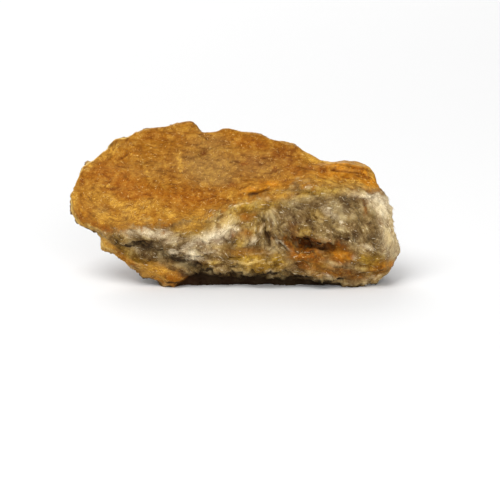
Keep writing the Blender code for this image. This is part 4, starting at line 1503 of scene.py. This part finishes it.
@dataclass(frozen=True)
class StoneFinish:
    """The specimen's own finish: matted ochre fibres, pale quartz and rust, with painted shade, highlights
    and glow.
    """

    ochre: Colour = (0.298, 0.106, 0.003)
    ochre_light: Colour = (0.70, 0.39, 0.060)
    fibre: Colour = (0.84, 0.56, 0.20)
    olive: Colour = (0.31, 0.162, 0.038)
    deep: Colour = (0.308, 0.090, 0.0015)
    # Golden fibres, also used for the painted glow of thin edges.
    gold: Colour = (0.71, 0.40, 0.055)
    # Red-brown stain, also used for painted shade in cracks.
    red: Colour = (0.20, 0.045, 0.003)
    orange: Colour = (0.62, 0.23, 0.006)
    # The painted glow of thin edges.
    rim: Colour = (0.92, 0.66, 0.20)
    shade: Colour = (0.33, 0.225, 0.165)
    quartz: Colour = (0.285, 0.187, 0.062)
    quartz_light: Colour = (0.64, 0.48, 0.22)
    # White quartz, also used for painted highlights and glow.
    white: Colour = (0.89, 0.77, 0.53)
    cream: Colour = (0.80, 0.57, 0.19)
    glassy: Colour = (0.80, 0.66, 0.36)
    # Grey quartz, also used for painted shade in the recess.
    grey: Colour = (0.15, 0.106, 0.060)
    rust: Colour = (0.33, 0.104, 0.002)
    brown: Colour = (0.060, 0.013, 0.001)
    tinge: Colour = (0.50, 0.30, 0.035)
    # The painted shade.
    dark: Colour = (0.012, 0.004, 0.001)
    # The painted shade in the relief's hollows, and the tone of the darker small bits.
    hollow: Colour = (0.33, 0.18, 0.08)
    warp: Comb = Comb(0.15, 0.40)
    weft: Comb = Comb(0.15, 0.32)
    wisp: Comb = Comb(0.16, 0.55)
    thread: Comb = Comb(0.24, 1.1)
    bundle: Comb = Comb(0.70, 2.0)
    ridge: Comb = Comb(0.16, 0.8)

    def rusted(self, recipe: Recipe, colour: Socket) -> Socket:
        """Return a colour with the rust laid over it, brown in some places and orange in others."""
        spots = recipe.noise(recipe.place(1.3), 4.0, 0.6)
        stain = recipe.mix(spots.eased(0.36, 0.60), self.brown, self.rust)
        colour = recipe.mix(recipe.mark(Mark.RUST) * spots.eased(0.26, 0.46) * 0.95, colour, stain)
        return recipe.mix(recipe.mark(Mark.ORANGE) * spots.eased(0.30, 0.52), colour, self.orange)

    def sheet_colour(self, recipe: Recipe) -> Socket:
        """Return the carpholite's colour, streaked along its fibres, with painted glow and some painted
        shade.
        """
        warp = recipe.streaks(self.warp)
        weft = recipe.streaks(self.weft, Guide.WEFT)
        wisp = recipe.streaks(self.wisp)
        tone = recipe.noise(recipe.place(1.7), 5.0, 0.65)
        spot = recipe.noise(recipe.place(0.40), 3.0, 0.65)
        gold = recipe.mark(Mark.GOLD_AND_PAINTED_GLOW)
        plain = 1.0 - 0.7 * recipe.mark(Mark.ORANGE)
        mat = warp * 0.5 + weft * 0.5
        colour = recipe.mix(recipe.mark(Mark.OLIVE) * 0.9, self.ochre, self.olive)
        colour = recipe.mix(recipe.mark(Mark.DEEP) * 0.9, colour, self.deep)
        # Golden fibres, and painted glow at thin edges.
        colour = recipe.mix(gold * (0.25 + 0.75 * mat.eased(0.35, 0.75)), colour, self.gold)
        # Red-brown stain, and painted shade in cracks.
        colour = recipe.mix(recipe.mark(Mark.RED) * spot.eased(0.30, 0.55), colour, self.red)
        colour = self.rusted(recipe, colour)
        colour = recipe.shaded((1.0 - mat.eased(0.18, 0.66)) * 0.75, colour, self.shade)
        colour = recipe.shaded((1.0 - tone.eased(0.32, 0.50)) * 0.40, colour, self.shade)
        colour = recipe.mix(tone.eased(0.45, 0.68) * 0.25, colour, self.ochre_light)
        colour = recipe.mix((1.0 - spot.eased(0.30, 0.44)) * 0.50, colour, self.red)
        colour = recipe.mix(wisp.eased(0.62, 0.86) * plain * (0.60 + 0.35 * gold), colour, self.ochre_light)
        colour = recipe.mix(spot.eased(0.57, 0.68) * weft.eased(0.3, 0.8) * 0.7, colour, self.ochre_light)
        # Painted glow along the thin edges.
        return recipe.mix(recipe.mark(Mark.PAINTED_RIM_GLOW) * (0.55 + 0.45 * mat.eased(0.2, 0.8)), colour, self.rim)

    def quartz_colour(self, recipe: Recipe) -> Socket:
        """Return the quartz's colour, bundle by bundle, with painted highlights, glow and shade."""
        thread = recipe.streaks(self.thread)
        bundle = recipe.streaks(self.bundle)
        cloud = recipe.noise(recipe.place(2.0), 4.0, 0.6)
        mass = recipe.noise(recipe.place(3.4), 3.0, 0.5)
        tinge = recipe.mark(Mark.TINGE)
        white = recipe.mark(Mark.WHITE)
        pale = recipe.mix(tinge, self.white, self.cream)
        glint = recipe.mix(tinge, self.glassy, self.cream)
        colour = recipe.mix(cloud.eased(0.42, 0.64) * 0.45, self.quartz, self.quartz_light)
        # Grey quartz, and painted shade in the recess.
        colour = recipe.mix(recipe.mark(Mark.GREY_AND_PAINTED_SHADE) * 0.75, colour, self.grey)
        colour = recipe.mix(tinge * (0.45 + 0.55 * cloud.eased(0.3, 0.5)), colour, self.tinge)
        colour = self.rusted(recipe, colour)
        # White quartz, and painted highlights and glow.
        colour = recipe.mix(white * (0.2 + 0.8 * thread.eased(0.0, 0.7)), colour, pale)
        depth = 0.82 - 0.55 * white
        clean = 1.0 - 0.8 * recipe.mark(Mark.RUST)
        colour = recipe.shaded((1.0 - bundle.eased(0.05, 0.75)) * depth, colour, self.shade)
        colour = recipe.shaded((1.0 - thread.eased(0.10, 0.65)) * depth, colour, self.shade)
        colour = recipe.shaded((1.0 - mass.eased(0.40, 0.56)) * depth * 0.65, colour, self.shade)
        colour = recipe.mix(mass.eased(0.52, 0.68) * clean * 0.22, colour, glint)
        colour = recipe.mix(bundle.eased(0.62, 1.0) * clean * 0.55, colour, glint)
        return recipe.mix(thread.eased(0.60, 0.95) * clean * 0.55, colour, glint)

    def bits(self, name: str, pale: Colour, shade: float, sheen: float) -> bpy.types.Material:
        """Make the material of the small solids, which take the colour of what they grow from.

        Args:
            name: The material's name.
            pale: The colour that the palest of them tend to.
            shade: How dark the darkest of them are.
            sheen: How glossy they are, as the shader's specular level.

        Returns:
            The material.
        """
        recipe = Recipe(name)
        tint = Value(recipe, recipe.node("ShaderNodeAttribute", {"attribute_name": TINT}).outputs["Fac"])
        colour = recipe.mix(recipe.mark(Mark.SHEET), self.quartz_colour(recipe), self.sheet_colour(recipe))
        colour = recipe.mix(tint.eased(0.62, 0.95) * 0.62, colour, pale)
        colour = recipe.shaded((1.0 - tint.eased(0.0, 0.4)) * shade, colour, self.hollow)
        # Painted shade, as on the skin.
        colour = recipe.mix(recipe.mark(Mark.DARK) * 0.95, colour, self.dark)
        grain = recipe.noise(recipe.place(0.2), 2.0)
        return recipe.finish(colour, 0.45 + 0.3 * grain, grain, 0.03, {"Specular IOR Level": sheen})

    def material(self) -> bpy.types.Material:
        """Make the material of the rock's skin."""
        recipe = Recipe("carpholite_and_quartz")
        sheet = recipe.mark(Mark.SHEET)
        spots = recipe.noise(recipe.place(0.9), 3.0)
        colour = recipe.mix(sheet, self.quartz_colour(recipe), self.sheet_colour(recipe))
        # Painted shade in the hollows of the relief.
        relief = recipe.mark(Mark.PAINTED_HOLLOW_SHADE)
        colour = recipe.shaded((1.0 - relief.eased(0.05, 0.5)) * 0.6, colour, self.hollow)
        # Painted shade in the recesses and cracks and on the underside.
        colour = recipe.mix(recipe.mark(Mark.DARK) * 0.95, colour, self.dark)
        sugar = recipe.noise(recipe.place(0.25), 2.0, 0.6)
        height = (recipe.streaks(self.ridge) * 0.7 + sugar * 0.3) * (1.0 - 0.6 * sheet)
        rough = 0.42 + 0.35 * spots
        return recipe.finish(colour, rough, height, 0.22, {"Specular IOR Level": 0.08})


@dataclass(frozen=True)
class FloorFinish:
    """A plain pale floor."""

    pale: Colour = (0.80, 0.80, 0.80)
    dull: Colour = (0.7, 0.7, 0.7)
    patch_size: float = 60.0
    rough: float = 0.9

    def material(self) -> bpy.types.Material:
        """Make the material, very slightly uneven."""
        recipe = Recipe("pale_floor")
        noise = recipe.noise(recipe.place(self.patch_size), 2.0)
        colour = recipe.mix(noise * 0.02, self.pale, self.dull)
        return recipe.finish(colour, self.rough, noise, 0.01, {})


@dataclass
class Studio:
    """The floor, the soft lights and the camera. The floor and the far end of sight are in metres."""

    floor_half: float = 4.0
    far_end: float = 100.0
    lens: float = 346.4
    sensor: float = 36.0
    world_strength: float = 0.40
    lamps: tuple[Lamp, ...] = (
        Lamp("key", (-0.28, -0.40, 0.75), 0.50, 5.5),
        Lamp("front", (0.15, -0.85, 0.30), 0.60, 5.0),
        Lamp("back", (-0.15, 0.75, 0.45), 0.60, 3.5),
    )

    def floor(self) -> None:
        """Lay the floor."""
        half = self.floor_half
        mesh = bpy.data.meshes.new("floor")
        corners = [(-half, -half, 0.0), (half, -half, 0.0), (half, half, 0.0), (-half, half, 0.0)]
        mesh.from_pydata(corners, [], [(0, 1, 2, 3)])
        mesh.materials.append(FloorFinish().material())
        floor = bpy.data.objects.new("floor", mesh)
        bpy.context.scene.collection.objects.link(floor)

    def hang(self, lamp: Lamp) -> None:
        """Hang a lamp so that it faces the specimen."""
        light = bpy.data.lights.new(lamp.name, "AREA")
        light.size = lamp.side
        light.energy = lamp.power
        holder = bpy.data.objects.new(lamp.name, light)
        holder.location = lamp.place
        holder.rotation_euler = (-Vector(lamp.place)).to_track_quat("-Z", "Y").to_euler()
        bpy.context.scene.collection.objects.link(holder)

    def world(self) -> None:
        """Fill the room with pale light."""
        world = bpy.data.worlds.new("pale_room")
        world.use_nodes = True
        background = world.node_tree.nodes["Background"]
        background.inputs["Color"].default_value = (1.0, 1.0, 1.0, 1.0)
        background.inputs["Strength"].default_value = self.world_strength
        bpy.context.scene.world = world

    def camera(self) -> None:
        """Set the camera where the specimen was looked at from."""
        tilt, roll = SIGHT_TILT, SIGHT_ROLL
        ahead = Vector((0.0, math.cos(tilt), -math.sin(tilt)))
        level_up = Vector((0.0, math.sin(tilt), math.cos(tilt)))
        level_right = Vector((1.0, 0.0, 0.0))
        eye = (level_right * SIGHT_CENTRE[0] + level_up * SIGHT_CENTRE[1] - ahead * SIGHT_DISTANCE) * MM
        right = level_right * math.cos(roll) + level_up * math.sin(roll)
        upward = level_up * math.cos(roll) - level_right * math.sin(roll)
        turned = Matrix((right, upward, -ahead)).transposed().to_4x4()
        lens = bpy.data.cameras.new("eye")
        lens.sensor_width = self.sensor
        lens.lens = self.lens
        lens.clip_end = self.far_end
        camera = bpy.data.objects.new("eye", lens)
        camera.matrix_world = Matrix.Translation(eye) @ turned
        bpy.context.scene.collection.objects.link(camera)
        bpy.context.scene.camera = camera

    def build(self) -> None:
        """Set up the whole studio."""
        self.floor()
        for lamp in self.lamps:
            self.hang(lamp)
        self.world()
        self.camera()
        bpy.context.scene.view_settings.view_transform = "Standard"


def report(piece: bpy.types.Object) -> None:
    """Log how many faces a piece has."""
    log.info("%s: %d faces", piece.name, len(piece.data.polygons))


def main() -> None:
    """Build the specimen and the studio around it."""
    logging.basicConfig(level=logging.INFO, format="%(message)s")
    Studio().build()
    stone = StoneFinish()
    rock = Rock().build()
    rock.data.materials.append(stone.material())
    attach(rock, BODY)
    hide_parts(NODE)
    report(rock)
    felt = stone.bits("carpholite_fibre", stone.fibre, 0.45, 0.12)
    glass = stone.bits("quartz_grain", stone.white, 0.35, 0.10)
    for growth in GROWTHS:
        piece = growth.grow(rock, felt if growth.name == FELT else glass)
        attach(piece, BODY)
        report(piece)


if __name__ == "__main__":
    main()
